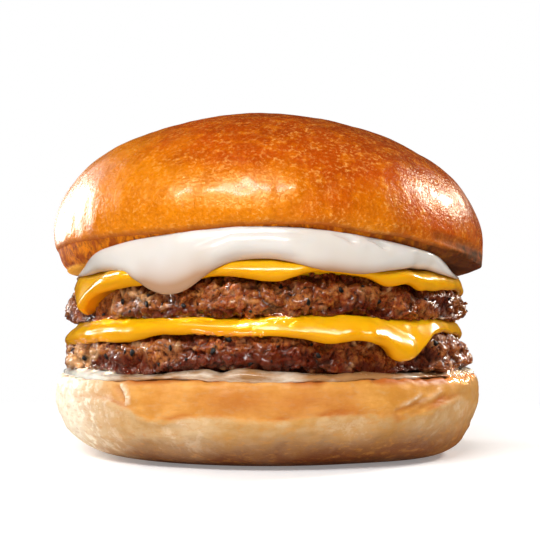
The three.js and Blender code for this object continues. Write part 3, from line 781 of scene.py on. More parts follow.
def white_sauce_finish(colours):
    """Thick white sauce: soft, milky and glossy."""
    f = Finish("white_sauce")
    wide = f.noise(12, 2)
    colour = f.over(colours.white_sauce, colours.white_sauce_warm, wide, 0.3, 0.7)
    # Browner where the sauce is thin over the meat, and painted shade on the lower part of its
    # face.
    colour = f.mix(colour, colours.white_sauce_thin_and_shade, f.times(f.kept("thin"), 0.85))
    return f.surface(colour, f.rough(f.noise(5, 2), 0.18, 0.27), 0.4, 2.2, (1.0, 0.75, 0.55),
                     Normal=f.skin((wide, 0.25, 0.4), (f.noise(2.2, 2), 0.03, 0.4)),
                     Coat_Weight=0.25, Coat_Roughness=0.08)


def cream_sauce_finish(colours):
    """Thin cream sauce stained with fat."""
    f = Finish("cream_sauce")
    streaks = f.noise(3.0, 4, 0.62, (0.35, 0.35, 1.4))
    soaked = f.plus(f.kept("stained"), f.swing(streaks, 1.6))
    colour = f.over(colours.cream_sauce, colours.cream_stain, soaked, 0.15, 0.95)
    return f.surface(colour, f.rough(f.noise(2.5, 2), 0.14, 0.28), 0.3, 1.2, (1.0, 0.7, 0.4),
                     Normal=f.skin((f.noise(1.3, 3), 0.08, 0.6)),
                     Coat_Weight=0.4, Coat_Roughness=0.06)


def pepper_finish(colours):
    """Cracked black pepper, dusty in places."""
    f = Finish("cracked_pepper")
    mottle = f.noise(0.3, 3)
    colour = f.over(colours.pepper, colours.pepper_grey, mottle, 0.5, 0.8)
    return f.surface(colour, f.rough(mottle, 0.4, 0.7), Normal=f.skin((mottle, 0.08, 0.8)))


def juice_finish(colours):
    """Clear fat and juice."""
    f = Finish("clear_juice")
    colour = f.mix(colours.juice, colours.juice_deep, f.noise(3, 2))
    return f.surface(colour, f.rough(f.noise(1.5, 2), 0.02, 0.08), IOR=1.38,
                     Transmission_Weight=1.0, Normal=f.skin((f.noise(1.2, 2), 0.22, 1.0)),
                     Coat_Weight=0.6, Coat_Roughness=0.03)


def floor_finish(colours):
    """Plain pale floor that fades out far from the burger."""
    f = Finish("pale_floor")
    far = f.add("VectorMath", {0: f.place}, operation="LENGTH").outputs["Value"]
    soft = f.noise(60, 2)
    colour = f.over(colours.floor, colours.floor_shade, soft, 0.3, 0.7)
    shown = f.fit(far, 0.07, 0.26, 1.0, 0.0, smooth=True)
    return f.surface(colour, f.rough(soft, 0.6, 0.7), Alpha=shown, Specular_IOR_Level=0.2,
                     Emission_Color=(*colours.floor, 1), Emission_Strength=0.22)


# ---------------------------------------------------------------- shapes

def dome_underside(radius, bearing):
    """Underside that the white sauce follows, as in the solids."""
    inner = np.minimum(radius, DOME_CUT_RADIUS)
    cut = DOME_CUT + lean_at(LEAN_DOME_CUT, inner, bearing)
    rim = cut + reach_at(bearing, DOME_RIM_ABOVE_CUT, [DOME_RIM_LIFT])
    share = (radius - inner) / (DOME_RIM_RADIUS - DOME_CUT_RADIUS)
    return blend(cut, rim, share)


def along(knots, share):
    """Radius and height a share of the way along the cubic curve with four knots."""
    back = 1 - share
    weights = [back ** 3, 3 * share * back ** 2, 3 * share * share * back, share ** 3]
    return [sum(weight * knot[axis] for weight, knot in zip(weights, knots)) for axis in (0, 1)]


def sheet_face(sheet, bearing):
    """Knots of a sheet's outer curve at a bearing, from its flat top out and down to its bead."""
    start = sheet["shoulder"]
    face, bead, rise, out = (round_the_edge(sheet[key], bearing)
                             for key in ("face", "bead", "rise", "lean_out"))
    top = sheet["top"] + lean_at(sheet["lean"], start, bearing)
    uneven = 0.7 * sheet["wave"] * grain(on_ring(LIP_RING, bearing), 3.4, sheet["seed"], 2)
    lip = round_the_edge(sheet["lip"], bearing) + bead / 2 + uneven
    return [(start, top), (blend(start, face, 0.6), top + rise),
            (face + 0.2 - out, blend(lip, top, 0.6) + 0.6 * rise), (face, lip)]


def roll(bearing, height, path, width, taper=0.0):
    """1 along the middle of a roll that follows a path of (bearing, height), 0 a width away.

    Taper is the length in millimetres over which it swells at each end.
    """
    away, before = np.full(len(bearing), 1e3), np.zeros(len(bearing))
    travelled = 0.0
    for (from_bearing, from_height), (to_bearing, to_height) in zip(path, path[1:]):
        x = np.radians(turn_between(bearing, from_bearing)) * SIDE_RADIUS
        dx = math.radians(to_bearing - from_bearing) * SIDE_RADIUS
        z, dz = height - from_height, to_height - from_height
        share = np.clip((x * dx + z * dz) / (dx * dx + dz * dz), 0, 1)
        off = np.hypot(x - share * dx, z - share * dz)
        before = np.where(off < away, travelled + share * math.hypot(dx, dz), before)
        away = np.minimum(away, off)
        travelled += math.hypot(dx, dz)
    swell = np.maximum(0, 1 - (away / width) ** 2) ** 1.2
    if taper:
        swell = swell * ease(before, 0, taper) * ease(travelled - before, 0, taper)
    return swell


def shape_sheet(name, sheet, steps):
    """A flat sheet whose edge has run out, turned down and ended in a round bead."""
    start, rim = sheet["shoulder"], sheet["shoulder"] + 1
    half = (sheet["top"] - sheet["bottom"]) / 2
    turn = np.linspace(-math.pi / 2, math.pi / 2, 17)
    nose = np.stack([rim + 0.5 * np.cos(turn), half + half * np.sin(turn)], axis=1)
    section = joined(legs((0, 0), (start, 0, 6), (rim, 0, 1 / 14)), nose,
                     legs((rim, 2 * half), (start, 2 * half, 1 / 28), (0, 2 * half, 6)))
    piece = spun(name, section, steps)
    radius, bearing, height = turned(points_of(piece))
    share = np.clip(radius - start, 0, 1)
    knots = sheet_face(sheet, bearing)
    face, lip = knots[3]
    bead = round_the_edge(sheet["bead"], bearing)
    base = sheet["bottom"] + lean_at(sheet["lean"], np.minimum(radius, start), bearing)
    outer = along(knots, share)
    inner = along([(start, base), (blend(start, face - bead, 0.7), base),
                   (face - bead, blend(lip, base, 0.5)), (face - bead, lip)], share)
    swing = math.pi / 2 - np.arctan2((height - half) / half, (radius - rim) / 0.5)
    end = (face - bead / 2 + bead / 2 * np.cos(swing), lip - bead / 2 * np.sin(swing))
    spot = [np.where(radius > rim + 1e-4, c, np.where(height > half, a, b))
            for a, b, c in zip(outer, inner, end)]
    flat = radius <= start
    set_points(piece, placed(np.where(flat, radius, spot[0]), bearing,
                             np.where(flat, base + height, spot[1])))
    there = points_of(piece)
    outside = ease(share, 0.1, 0.5) * (height > half * 0.5)
    rolls = sum(depth * roll(bearing, there[:, 2], path, width, taper)
                for path, width, depth, taper in sheet["rolls"])
    there[:, :2] *= 1 + (outside * rolls / np.maximum(radius, 40))[:, None]
    set_points(piece, there)
    seed = sheet["seed"]
    push_out(piece, sheet["wave"] * outside * layered(
        there, (1, 5.5, seed + 6, 2), (0.35, 1.9, seed + 2)))
    # Deeper orange towards the lip, most on the bead's underside: partly the thicker bead, partly
    # painted shade.
    note(piece, "lip", ease(share, 0.75, 1) * (1 - 0.7 * ease(height, half, 2 * half)))
    return piece


def shape_heel(steps):
    """The bottom bun: flat foot, full side with a fold round it, and a cut top."""
    side = joined(curve((HEEL_FOOT_RADIUS, 0), (46, 0), (HEEL_RADIUS, 5),
                        (HEEL_RADIUS, HEEL_WIDEST)),
                  curve((HEEL_RADIUS, HEEL_WIDEST), (HEEL_RADIUS, 18.2), (54, HEEL_TOP),
                        (HEEL_TOP_RADIUS, HEEL_TOP)))
    section = joined(legs((0, 0), (30, 0, 6), (HEEL_FOOT_RADIUS, 0, 1)), evenly(side, 0.5),
                     legs((HEEL_TOP_RADIUS, HEEL_TOP), (46, HEEL_TOP, 0.9), (0, HEEL_TOP, 6)))
    piece = spun("Heel", section, steps)
    radius, bearing, height = turned(points_of(piece))
    points = placed(radius, bearing, height)
    swell = HEEL_UNEVENNESS * np.sin(math.pi * height / HEEL_TOP) * unevenness(
        *(points * [1, 1, 1.5] / HEEL_SWELL_SIZE).T)
    corner = reach_at(bearing, 0, [HEEL_CORNER])
    corner *= np.maximum(0, 1 - height / HEEL_CORNER_HEIGHT)
    corner *= np.minimum(1, radius / HEEL_FOOT_RADIUS)
    set_points(piece, placed(radius + swell + corner, bearing, height))
    side = ease(radius, 46, 52) * ease(height, 0, 3)
    fold = round_the_edge(HEEL_FOLD, bearing) + 0.5 * grain(points, 3.0, 4.0)
    above = height - fold
    torn = hang(bearing, *HEEL_TORN)
    faded = np.clip(1.5 * torn + 1.3 * hang(bearing, *HEEL_FADED), 0, 1)
    strength = (0.55 + 0.45 * grain(points, 18, 9.0)) * (1 - 0.95 * faded)
    ledge = strength * (0.8 * np.exp(-np.maximum(-above, 0) / 2.2) * (above < 0)
                        - 0.35 * np.exp(-np.maximum(above, 0) / 1.3) * (above >= 0))
    ledge = blend(ledge, 0.1 * strength, bump(above, 0, 0.5))
    notch, flap, nick, crack = (
        sum(roll(bearing, height, path, width) for path in paths) for width, paths in HEEL_MARKS)
    flaky = near(bearing, -58, 30) * bump(height, 11, 8)
    pleats = flaky * grain(points * [1, 1, 0.16], 2.2, 6, 3)
    wrinkles = grain(points * [0.3, 0.3, 1], 1.3, 8, 2)
    lumps = layered(points, (0.34, 8, 2, 2), (0.18, 2.2, 5, 2)) + 0.13 * wrinkles
    edge = ease(height, HEEL_TOP - 1.2, HEEL_TOP)
    round_rim = on_ring(52, bearing)
    nibbled = 0.35 * grain(points, 1.8, 7.0, 2) * edge
    push_out(piece, side * (ledge + lumps - 0.8 * notch + 0.5 * flap + 0.3 * nick - 0.3 * crack
                            + 0.55 * pleats + nibbled))
    note(piece, "above_fold", above)
    note(piece, "faded", faded)
    flecked = 0.8 * flap + 0.35 * nick
    flecked += ease(-above, -0.5, 1) * (0.12 + 0.14 * grain(points, 9, 4))
    note(piece, "flaky", np.clip(0.95 * torn + flecked, 0, 1))
    # Baked orange round the front, with painted shade in the notch and the crack.
    baked = hang(bearing, *HEEL_BAKED) * bump(height, 15.2, 5.0) + 0.9 * notch + 0.9 * crack
    note(piece, "baked", np.clip(baked + 0.25 * grain(points, 8, 6.0, 2), 0, 1))
    patch = ease(grain(round_rim, 9, 3.0, 2), -0.4, 0.6)
    rim = ease(height, HEEL_TOP - 0.5 - 1.4 * patch, HEEL_TOP - 0.1 - 0.4 * patch)
    note(piece, "toast", rim * ease(radius, 50.5, 52) * (0.45 + 0.45 * patch) * (1 - 0.85 * torn))
    note(piece, "cut", ease(height, HEEL_TOP - 0.05, HEEL_TOP) * ease(-radius, -51.8, -50.5))
    return piece


def patches(bearing, height, table):
    """Sum of soft patches at (bearing, height, half-width, half-height, strength)."""
    return sum(strength * near(bearing, at, wide) * bump(height, up, tall)
               for at, up, wide, tall, strength in table)


def shape_patty(name, patty, steps):
    """A thin patty with a lumpy, craggy side, pressed in where cheese hangs over it."""
    bottom, leans, seed = patty["bottom"], patty["leans"], patty["seed"]
    foot, shoulder = PATTY_RADIUS - PATTY_FOOT_EDGE, PATTY_RADIUS - PATTY_SHOULDER
    low, high = np.linspace(-math.pi / 2, 0, 30), np.linspace(0, math.pi / 2, 40)
    edge = joined(
        np.stack([foot + PATTY_FOOT_EDGE * np.cos(low),
                  PATTY_FOOT_EDGE * (1 + np.sin(low))], axis=1),
        np.stack([shoulder + PATTY_SHOULDER * np.cos(high),
                  PATTY_FOOT_EDGE + (PATTY_THICKNESS - PATTY_FOOT_EDGE) * np.sin(high)], axis=1))
    section = joined(legs((0, 0), (44, 0, 8), (foot, 0, 0.7)), evenly(edge, 0.37),
                     legs((shoulder, PATTY_THICKNESS), (shoulder - 4, PATTY_THICKNESS, 0.8),
                          (0, PATTY_THICKNESS, 8)))
    piece = spun(name, section, steps)
    radius, bearing, height = turned(points_of(piece))
    points = placed(radius, bearing, height)
    spots = points / PATTY_LUMP_SIZE
    on_side = ease(height, 0, PATTY_FOOT_EDGE * 0.6) * ease(
        PATTY_THICKNESS - height, 0.8, PATTY_THICKNESS / 2)
    wave = PATTY_WAVE * unevenness(spots[:, 0] / 4, spots[:, 1] / 4 + seed, 3)
    lump = 1 - heap(spots + [seed, 0, 0], 1, loose=0.7)[0] ** 2 - PATTY_MEAN_LUMP
    reach = reach_at(bearing, patty["cheese_reach"], patty["hangs"])
    pressed = ease(reach, PRESS_START, PRESS_FULL)
    relief = (wave + PATTY_LUMP_DEPTH * lump) * (1 - pressed * 0.75) - PATTY_PRESS * pressed
    lean = blend(*leans, height / PATTY_THICKNESS)
    crest, sag, pulled = (reach_at(bearing, 0, patty[key]) for key in ("crests", "sags", "pulls"))
    outer = ease(radius, 45.5, 49)
    shift = crest * outer * ease(height, PATTY_THICKNESS * 0.4, PATTY_THICKNESS)
    shift -= sag * outer * (1 - ease(height, 0, PATTY_THICKNESS * 0.6))
    set_points(piece, placed(radius + on_side * relief, bearing,
                             bottom + height + shift + lean_at(lean, radius, bearing)))

    # Mince: soft crags and bent strands with creases between them, crumbs and pits.
    side = ease(radius, 44.5, 48.5) * (1 - 0.35 * pressed)
    bends = [grain(points, 3.4, seed + 17 * axis, 2) for axis in range(3)]
    bent = points + 1.2 * np.stack(bends, axis=1)
    flat = bent * [1, 1, 1.35]
    soft = grain(points * [1, 1, 1.2], 5.6, seed + 1, 2)
    strand = np.abs(grain(flat, 2.9, seed + 9, 2))
    fibre = np.abs(grain(bent, 1.35, seed + 31, 2))
    small, number = heap(bent, 1.6, seed + 3.1)
    crags = (0.6 * soft + 1.3 * (0.45 - np.exp(-strand / 0.35))
             + 0.55 * (0.45 - np.exp(-fibre / 0.3)))
    bits = 0.28 * (0.45 - small) + 0.24 * (number - 0.5) - 0.5 * (number < 0.05)
    depth = crags + bits + 0.24 * grain(points, 0.95, seed + 4, 2)
    depth = 1.2 * np.tanh(depth / 1.2)
    push_out(piece, side * (depth - 0.15 - pulled))
    # Painted shade: darker where the surface sinks, in the creases between strands and in the
    # painted shade patches.
    creased = 1 - ease(strand, 0.0, 0.16) * ease(fibre, -0.05, 0.12)
    sunk = ease(-depth, 0.1, 1.2)
    long = points * [0.6, 0.6, 1]
    deep = patches(bearing, bottom + height, patty["reds"])
    # Painted shade patches, and painted light patches where the strength is below zero.
    shade = patches(bearing, bottom + height, patty["painted_light_and_shade"])
    cleft_shade = 0.75 * sunk + 0.3 * creased - 0.1 + 0.3 * np.maximum(0, shade)
    note(piece, "cleft_shade", np.clip(cleft_shade, 0, 0.94))
    # Tone: random, paler where the mince stands out as painted light, darker in the red and painted
    # shade patches, paler in the painted light ones.
    tone = 0.45 + 0.7 * grain(long, 4.2, seed + 2, 3) - 0.5 * deep - 0.5 * shade
    note(piece, "tone", np.clip(tone + 0.3 * (number - 0.5) + 0.35 * depth, 0, 1))
    seared = bump(height, PATTY_THICKNESS, 3.4) + bump(height, 0, 3.4)
    red = grain(long, 4.6, seed + 8, 3) + 0.6 * seared - 0.3 * depth
    red += patty["redness"] + 1.2 * deep
    note(piece, "redness", ease(red, 0.1, 1.2))
    # Fat: random flecks, plus paler colour where the mince stands out and in the painted light
    # patches, as painted light; less in the red patches.
    fat = grain(points, 1.9, seed + 12, 2) + 0.3 * (number - 0.5) + 0.35 * depth
    fat += 0.6 * np.maximum(0, -shade) - 0.6 * deep
    note(piece, "fat", ease(fat, 0.45, 1.15))
    return piece


def shape_white_sauce(steps):
    """A flat pattern of the sauce, bent over the cheese below and filled up to the crust."""
    edge = SHOULDER_RADIUS + 1
    section = legs((0, 0), (SHOULDER_RADIUS, 0, 6), (edge, 0, 0.05), (edge, 1, 0.02),
                   (44, 1, 0.8), (0, 1, 6))
    piece = spun("WhiteSauce", section, steps)
    radius, bearing, share = turned(points_of(piece))

    def on_cheese(bearing, way):
        """Radius and height a way along the slice below, and straight down from its lip."""
        knots = sheet_face(UPPER_CHEESE, bearing)
        out, up = along(knots, np.minimum(way, 1))
        return out + 0.25, up + 0.25 * (1 - np.minimum(way, 1)) - 6 * np.maximum(0, way - 1)

    around = np.linspace(-180, 180, 1441)
    lip = round_the_edge(WHITE_SAUCE_LIP, around) + 0.12 * grain(on_ring(LIP_RING, around), 6, 5)
    ways = np.linspace(0, 2, 101)
    heights = np.stack([on_cheese(around, way)[1] for way in ways])
    last = len(ways) - 2 - np.argmax((heights >= lip)[-2::-1], axis=0)
    row = np.arange(len(around))
    over, under = heights[last, row], heights[last + 1, row]
    part = np.clip((over - lip) / np.maximum(over - under, 1e-6), 0, 1)
    reach = ways[last] + (ways[1] - ways[0]) * part
    reach = np.where((heights >= lip).any(axis=0), reach, 0.45)[:-1]
    reach = sum(np.roll(reach, step) for step in range(-8, 9)) / 17
    reach = np.interp(bearing, around, np.append(reach, reach[0]))

    push = (ease(bearing - WHITE_SAUCE_ENDS[0], 0, WHITE_SAUCE_FADE)
            * ease(WHITE_SAUCE_ENDS[1] - bearing, 0, WHITE_SAUCE_FADE))
    below = share < 1e-4
    on_top = share > 1 - 1e-4
    face = blend(*WHITE_SAUCE_FACE, push)
    past = np.clip(radius - SHOULDER_RADIUS, 0, 1)
    under_radius, under_height = on_cheese(bearing, past * reach)
    middle = radius <= SHOULDER_RADIUS
    under_radius = np.where(middle, radius, under_radius)
    lean = lean_at(LEAN_UPPER_PATTY, np.minimum(radius, SHOULDER_RADIUS), bearing)
    under_height = np.where(middle, WHITE_SAUCE_BOTTOM + lean, under_height)
    lip_radius, lip_height = on_cheese(bearing, reach)
    inner = np.minimum(radius, face - GAP)
    top_height = dome_underside(face, bearing) - GAP * 0.4
    belly = blend(*WHITE_SAUCE_BELLY, push)
    belly = belly * (1 + 0.12 * grain(on_ring(LIP_RING, bearing), 11, 3.0, 2))
    hanging = ease(reach, 0.9, 1.4)
    knots = [(lip_radius, lip_height),
             (lip_radius + belly * (0.75 - 0.1 * hanging), lip_height - 0.5 - 0.4 * hanging),
             (face + belly * 0.6, top_height - belly * 0.2), (face, top_height)]
    face_radius, face_height = along(knots, share)
    at_radius = np.where(below, under_radius, np.where(on_top, inner, face_radius))
    top = dome_underside(inner, bearing) - GAP
    at_height = np.where(below, under_height, np.where(on_top, top, face_height))
    set_points(piece, placed(at_radius, bearing, at_height))
    there = points_of(piece)
    on_face = (~below & ~on_top) * np.sin(math.pi * share)
    ridge = roll(bearing, there[:, 2], WHITE_SAUCE_RIDGE, 2.6, 7)
    tucks = sum(roll(bearing, there[:, 2], path, 0.9, 1.5) for path in WHITE_SAUCE_TUCKS)
    push_out(piece, on_face * (layered(there, (0.35, 9, 8), (0.12, 4, 1))
                               + 0.8 * ridge * push - 1.1 * tucks))
    # Thin: the hanging sauce thin over the meat, and painted shade over the lower part of the face
    # all round.
    thin = hanging * (1 - ease(share, 0.0, 0.72)) + 0.85 * (1 - ease(share, 0.0, 0.45))
    note(piece, "thin", np.clip(thin, 0, 1))
    return piece


def shape_top_bun(steps):
    """The top bun: a lopsided dome whose rim turns under to a cut face, higher at the front."""
    rim = DOME_CUT + DOME_RIM_ABOVE_CUT
    turn = np.linspace(0, math.pi / 2, 400)
    dome = np.stack([DOME_RADIUS * np.cos(turn) ** (2 / DOME_FULLNESS),
                     blend(DOME_WIDEST, DOME_APEX, np.sin(turn) ** (2 / DOME_FULLNESS))], axis=1)
    dome[-1, 0] = 0
    cheek = curve((DOME_RIM_RADIUS, rim), (DOME_RIM_RADIUS + 1.6, rim + 0.4),
                  (DOME_RADIUS, DOME_WIDEST - 2.4), (DOME_RADIUS, DOME_WIDEST))
    section = joined(legs((0, DOME_CUT), (40, DOME_CUT, 8), (DOME_CUT_RADIUS, DOME_CUT, 0.9),
                          (DOME_RIM_RADIUS, rim, 0.4)), evenly(cheek, 0.45), evenly(dome, 0.72))
    piece = spun("TopBun", section, steps)
    radius, bearing, height = turned(points_of(piece))
    side = 1 - near(bearing, -2, 66)
    below = height <= rim + 1e-4
    crease = round_the_edge(DOME_CREASE, bearing)
    crease_radius = blend(53.6, 54.5, side) + 0.8 * hang(bearing, 78, 18)
    cut_radius = blend(DOME_CUT_RADIUS, 51.6, side)
    slope = np.clip((radius - DOME_CUT_RADIUS) / (DOME_RIM_RADIUS - DOME_CUT_RADIUS), 0, 1)
    inner = np.minimum(radius, DOME_CUT_RADIUS) * cut_radius / DOME_CUT_RADIUS
    under_radius = np.where(slope > 0, blend(cut_radius, crease_radius, slope), inner)
    under_radius += 0.4 * np.sin(math.pi * slope) * side
    flat = DOME_CUT + lean_at(LEAN_DOME_CUT, np.minimum(radius, DOME_CUT_RADIUS), bearing)
    under_height = blend(flat, crease, slope ** 1.2)

    up = np.maximum(0, (height - DOME_WIDEST) / (DOME_APEX - DOME_WIDEST))
    down = np.maximum(0, (DOME_WIDEST - height) / (DOME_WIDEST - rim))
    turn = np.radians(bearing)
    lift = DOME_WIDEST_LEAN * np.cos(turn) - DOME_WIDEST_ROLL * np.sin(turn)
    widest = DOME_WIDEST + lift
    points = placed(radius, bearing, height)
    swell = DOME_UNEVENNESS * (1 - down) * unevenness(*(points / DOME_SWELL_SIZE).T)
    cheek_radius = DOME_RADIUS - (DOME_RADIUS - radius) * (
        (DOME_RADIUS - crease_radius) / (DOME_RADIUS - DOME_RIM_RADIUS))
    at_radius = np.where(down > 0, cheek_radius, radius) + swell * np.minimum(1, radius / 20)
    at_height = np.where(down > 0, blend(widest, crease, down),
                         height + lift * np.maximum(0, 1 - up) ** 1.3 + swell * up)
    at_radius = np.where(below, under_radius, at_radius)
    at_height = np.where(below, under_height, at_height)
    up = np.where(below, 0, up)
    shift = (DOME_APEX_SHIFT[0] * up * up + 0.75 * np.sin(math.pi * up), DOME_APEX_SHIFT[1] * up)
    set_points(piece, placed(at_radius, bearing, at_height, shift))

    there = points_of(piece)
    crust = np.where(below, 0.3 * slope, 1.0)
    low = ease(-at_height, -74, -54)
    ripples = low * layered(there * [1, 1, 0.22], (0.18, 4.2, 2, 2), (0.13, 1.8, 6))
    ripples *= 1 - 0.6 * hang(bearing, 58, 26)
    dents = layered(there, (0.3, 13, 3), (0.14, 5, 5, 2), (0.04, 2.2, 7))
    pinch = near(bearing, -65, 0.9) * bump(at_height, 55.5, 3.4)
    welt = near(bearing, 6.5, 2.0) * bump(at_height, 60.5, 5.0)
    round_rim = placed(55, bearing * 5, 0.8 * slope)
    folded = np.where(below, 0.5 * bump(slope, 0.55, 0.3) * hang(bearing, 62, 16), 0)
    strokes = grain(np.stack([bearing * 1.6 + slope * 9, 3 * slope, 0 * slope], axis=1), 3.2, 4, 2)
    strokes = 0.35 * strokes * np.sin(math.pi * slope) * hang(bearing, -70, 22)
    folded -= np.where(below, strokes, 0)
    lipped = np.where(below, 0.5 * bump(slope, 0.03, 0.1) * hang(bearing, -76, 16), 0)
    groove = roll(bearing, at_height, DOME_GROOVE, 1.6, 5)
    relief = ripples + dents - 0.45 * pinch + 0.4 * welt - 0.5 * groove
    push_out(piece, crust * relief - folded + lipped)
    groove_line = np.interp(bearing, *np.array(DOME_GROOVE).T)
    dark_side = hang(bearing, 67, 15) * ease(groove_line - at_height, -0.6, 0.9)
    # Under also covers a strip along the crease, the groove and the right cheek below it: painted
    # shade along the crease and in the groove, darker colour on that cheek.
    baked = 0.75 * bump(down, 1, 0.26) + dark_side + 0.5 * groove
    note(piece, "under", np.clip(np.where(below, ease(slope, 0, 0.1), baked), 0, 1))
    note(piece, "cut", np.where(below, 1 - ease(under_radius, 43.5, 45), 0.0))
    note(piece, "turned_under", below)
    edge = hang(bearing, -76, 18) * np.where(below, bump(slope, 0.0, 0.15), 0)
    note(piece, "toasted", np.clip(edge * (1.3 + 0.6 * grain(round_rim, 9.0, 3.0, 2)), 0, 1))
    return piece


# ---------------------------------------------------------------- small pieces

def surface_of(*names):
    """The faces of finished pieces, in millimetres, to lay small pieces on."""
    points, faces = [], []
    for name in names:
        piece, start = bpy.data.objects[name], len(points)
        points.extend(points_of(piece).tolist())
        faces.extend([start + corner for corner in face.vertices] for face in piece.data.polygons)
    return BVHTree.FromPolygons(points, faces)


def surface_radius(surface, bearing, height):
    """How far from the axis the surface is at a bearing and height, and its direction there."""
    turn = math.radians(bearing)
    out = Vector((math.sin(turn), -math.cos(turn), 0))
    start = out * RAY_START + Vector((*AXIS, height))
    spot, direction, _, distance = surface.ray_cast(start, -out)
    if spot is None:
        return LIP_RING, out
    return RAY_START - distance, direction


def rounded(name, faces, seed, uneven):
    """A small lump: a ball knocked out of shape, 1 mm wide."""
    bpy.ops.mesh.primitive_ico_sphere_add(subdivisions=faces, radius=0.5 * MM)
    lump = bpy.context.object
    lump.name = name
    bpy.ops.object.shade_smooth()
    points = points_of(lump)
    set_points(lump, points * (1 + uneven * grain(points, 0.45, seed))[:, None])
    return lump


def merged(name, pieces):
    """One piece of several."""
    only(*pieces)
    bpy.ops.object.join()
    pieces[0].name = pieces[0].data.name = name
    return pieces[0]


def scattered(name, pattern, places):
    """One piece of many copies of a small lump, at (point, direction, size, turn) places."""
    copies = []
    for point, direction, size, turn in places:
        copy = pattern.copy()
        copy.data = pattern.data.copy()
        bpy.context.scene.collection.objects.link(copy)
        way = Vector(direction).to_track_quat("Z", "Y").to_matrix().to_4x4()
        spin = Matrix.Rotation(turn, 4, "Z")
        place = Matrix.Translation(point * MM) @ way @ spin @ Matrix.Diagonal((*size, 1))
        copy.data.transform(place)
        copies.append(copy)
    bpy.data.objects.remove(pattern)
    return merged(name, copies)


def point_at(bearing, radius, height):
    turn = math.radians(bearing)
    return Vector((radius * math.sin(turn) + AXIS[0], AXIS[1] - radius * math.cos(turn), height))


def pepper_places(surface, known, bottom, size, count, chance):
    """Places for the larger specks, then for the small ones all round."""
    spots = [(bearing, height, size * chance.uniform(0.95, 1.35)) for bearing, height in known]
    spots += [(chance.uniform(-180, 180), bottom + chance.uniform(1.2, 7.4),
               size * chance.uniform(0.3, 0.8)) for _ in range(count)]
    places = []
    for bearing, height, width in spots:
        radius, direction = surface_radius(surface, bearing, height)
        places.append((point_at(bearing, radius + 0.18 * width, height), direction,
                       (width, width * chance.uniform(0.65, 0.95), width * 0.65),
                       chance.uniform(0, 6.3)))
    return places


def pool(name, surface, bearing, height, width, tall, depth):
    """A film of juice that lies on the surface: thick in the middle and thin at its rim."""
    rings, around = 9, 36
    share = np.linspace(1, 0, rings)[:, None]
    swing = np.linspace(0, 2 * math.pi, around, endpoint=False)[None, :]
    wander = 1 + 0.28 * np.sin(swing * 3 + bearing) + 0.16 * np.sin(swing * 5 + height)
    across = (share * wander * np.cos(swing) * width).ravel()
    up = (share * wander * np.sin(swing) * tall).ravel()
    bearings = bearing + np.degrees(across / SIDE_RADIUS)
    found = np.array([surface_radius(surface, *spot)[0] for spot in zip(bearings, height + up)])
    found = found.reshape(rings, around)
    level = found
    for _ in range(4):
        level = (level + np.roll(level, 1, 1) + np.roll(level, -1, 1)) / 3
        level[1:-1] = (level[:-2] + level[1:-1] + level[2:]) / 3
    level[-1] = level[-1].mean()
    dome = np.sqrt(np.maximum(0, 1 - share ** 2)) * np.ones((1, around))
    front = np.maximum(level, found - 0.1) + depth * dome
    back = level - 0.9 * dome
    shells = [placed(side.ravel(), bearings, height + up, AXIS) for side in (front, back)]
    points = np.vstack([shells[0], shells[1][around:]])
    faces, behind = [], (rings - 1) * around
    for ring in range(rings - 1):
        for i in range(around):
            a, b = ring * around + i, ring * around + (i + 1) % around
            c, d = b + around, a + around
            faces.append((a, b, c, d))
            low = [k if k < around else k + behind for k in (b, a)]
            faces.append((*low, d + behind, c + behind))
    mesh = bpy.data.meshes.new(name)
    mesh.from_pydata((points * MM).tolist(), [], faces)
    film = bpy.data.objects.new(name, mesh)
    bpy.context.collection.objects.link(film)
    close_up(film)
    return film


# ---------------------------------------------------------------- settings

def length(name, text, millimetres, low=0.1, high=200):
    return bpy.props.FloatProperty(name=name, description=text, default=millimetres * MM,
                                   min=low * MM, max=high * MM, unit="LENGTH", precision=4)


def tint(name, text, code):
    return bpy.props.FloatVectorProperty(name=name, description=text, subtype="COLOR", size=3,
                                         min=0, max=1, default=linear(code))


class BurgerSizes(bpy.types.PropertyGroup):
    """Sizes that a user would change."""
    round_steps: bpy.props.IntProperty(
        name="Steps round", description="Faces round the buns, cheese and sauces", default=480,
        min=96, max=720)
    patty_steps: bpy.props.IntProperty(
        name="Patty steps", description="Faces round each patty", default=860, min=240, max=1000)
    pepper_size: length("Pepper size", "Width of a large pepper speck", 1.15)
    pepper_count: bpy.props.IntProperty(
        name="Pepper specks", description="Small specks on each patty", default=50, min=0, max=400)


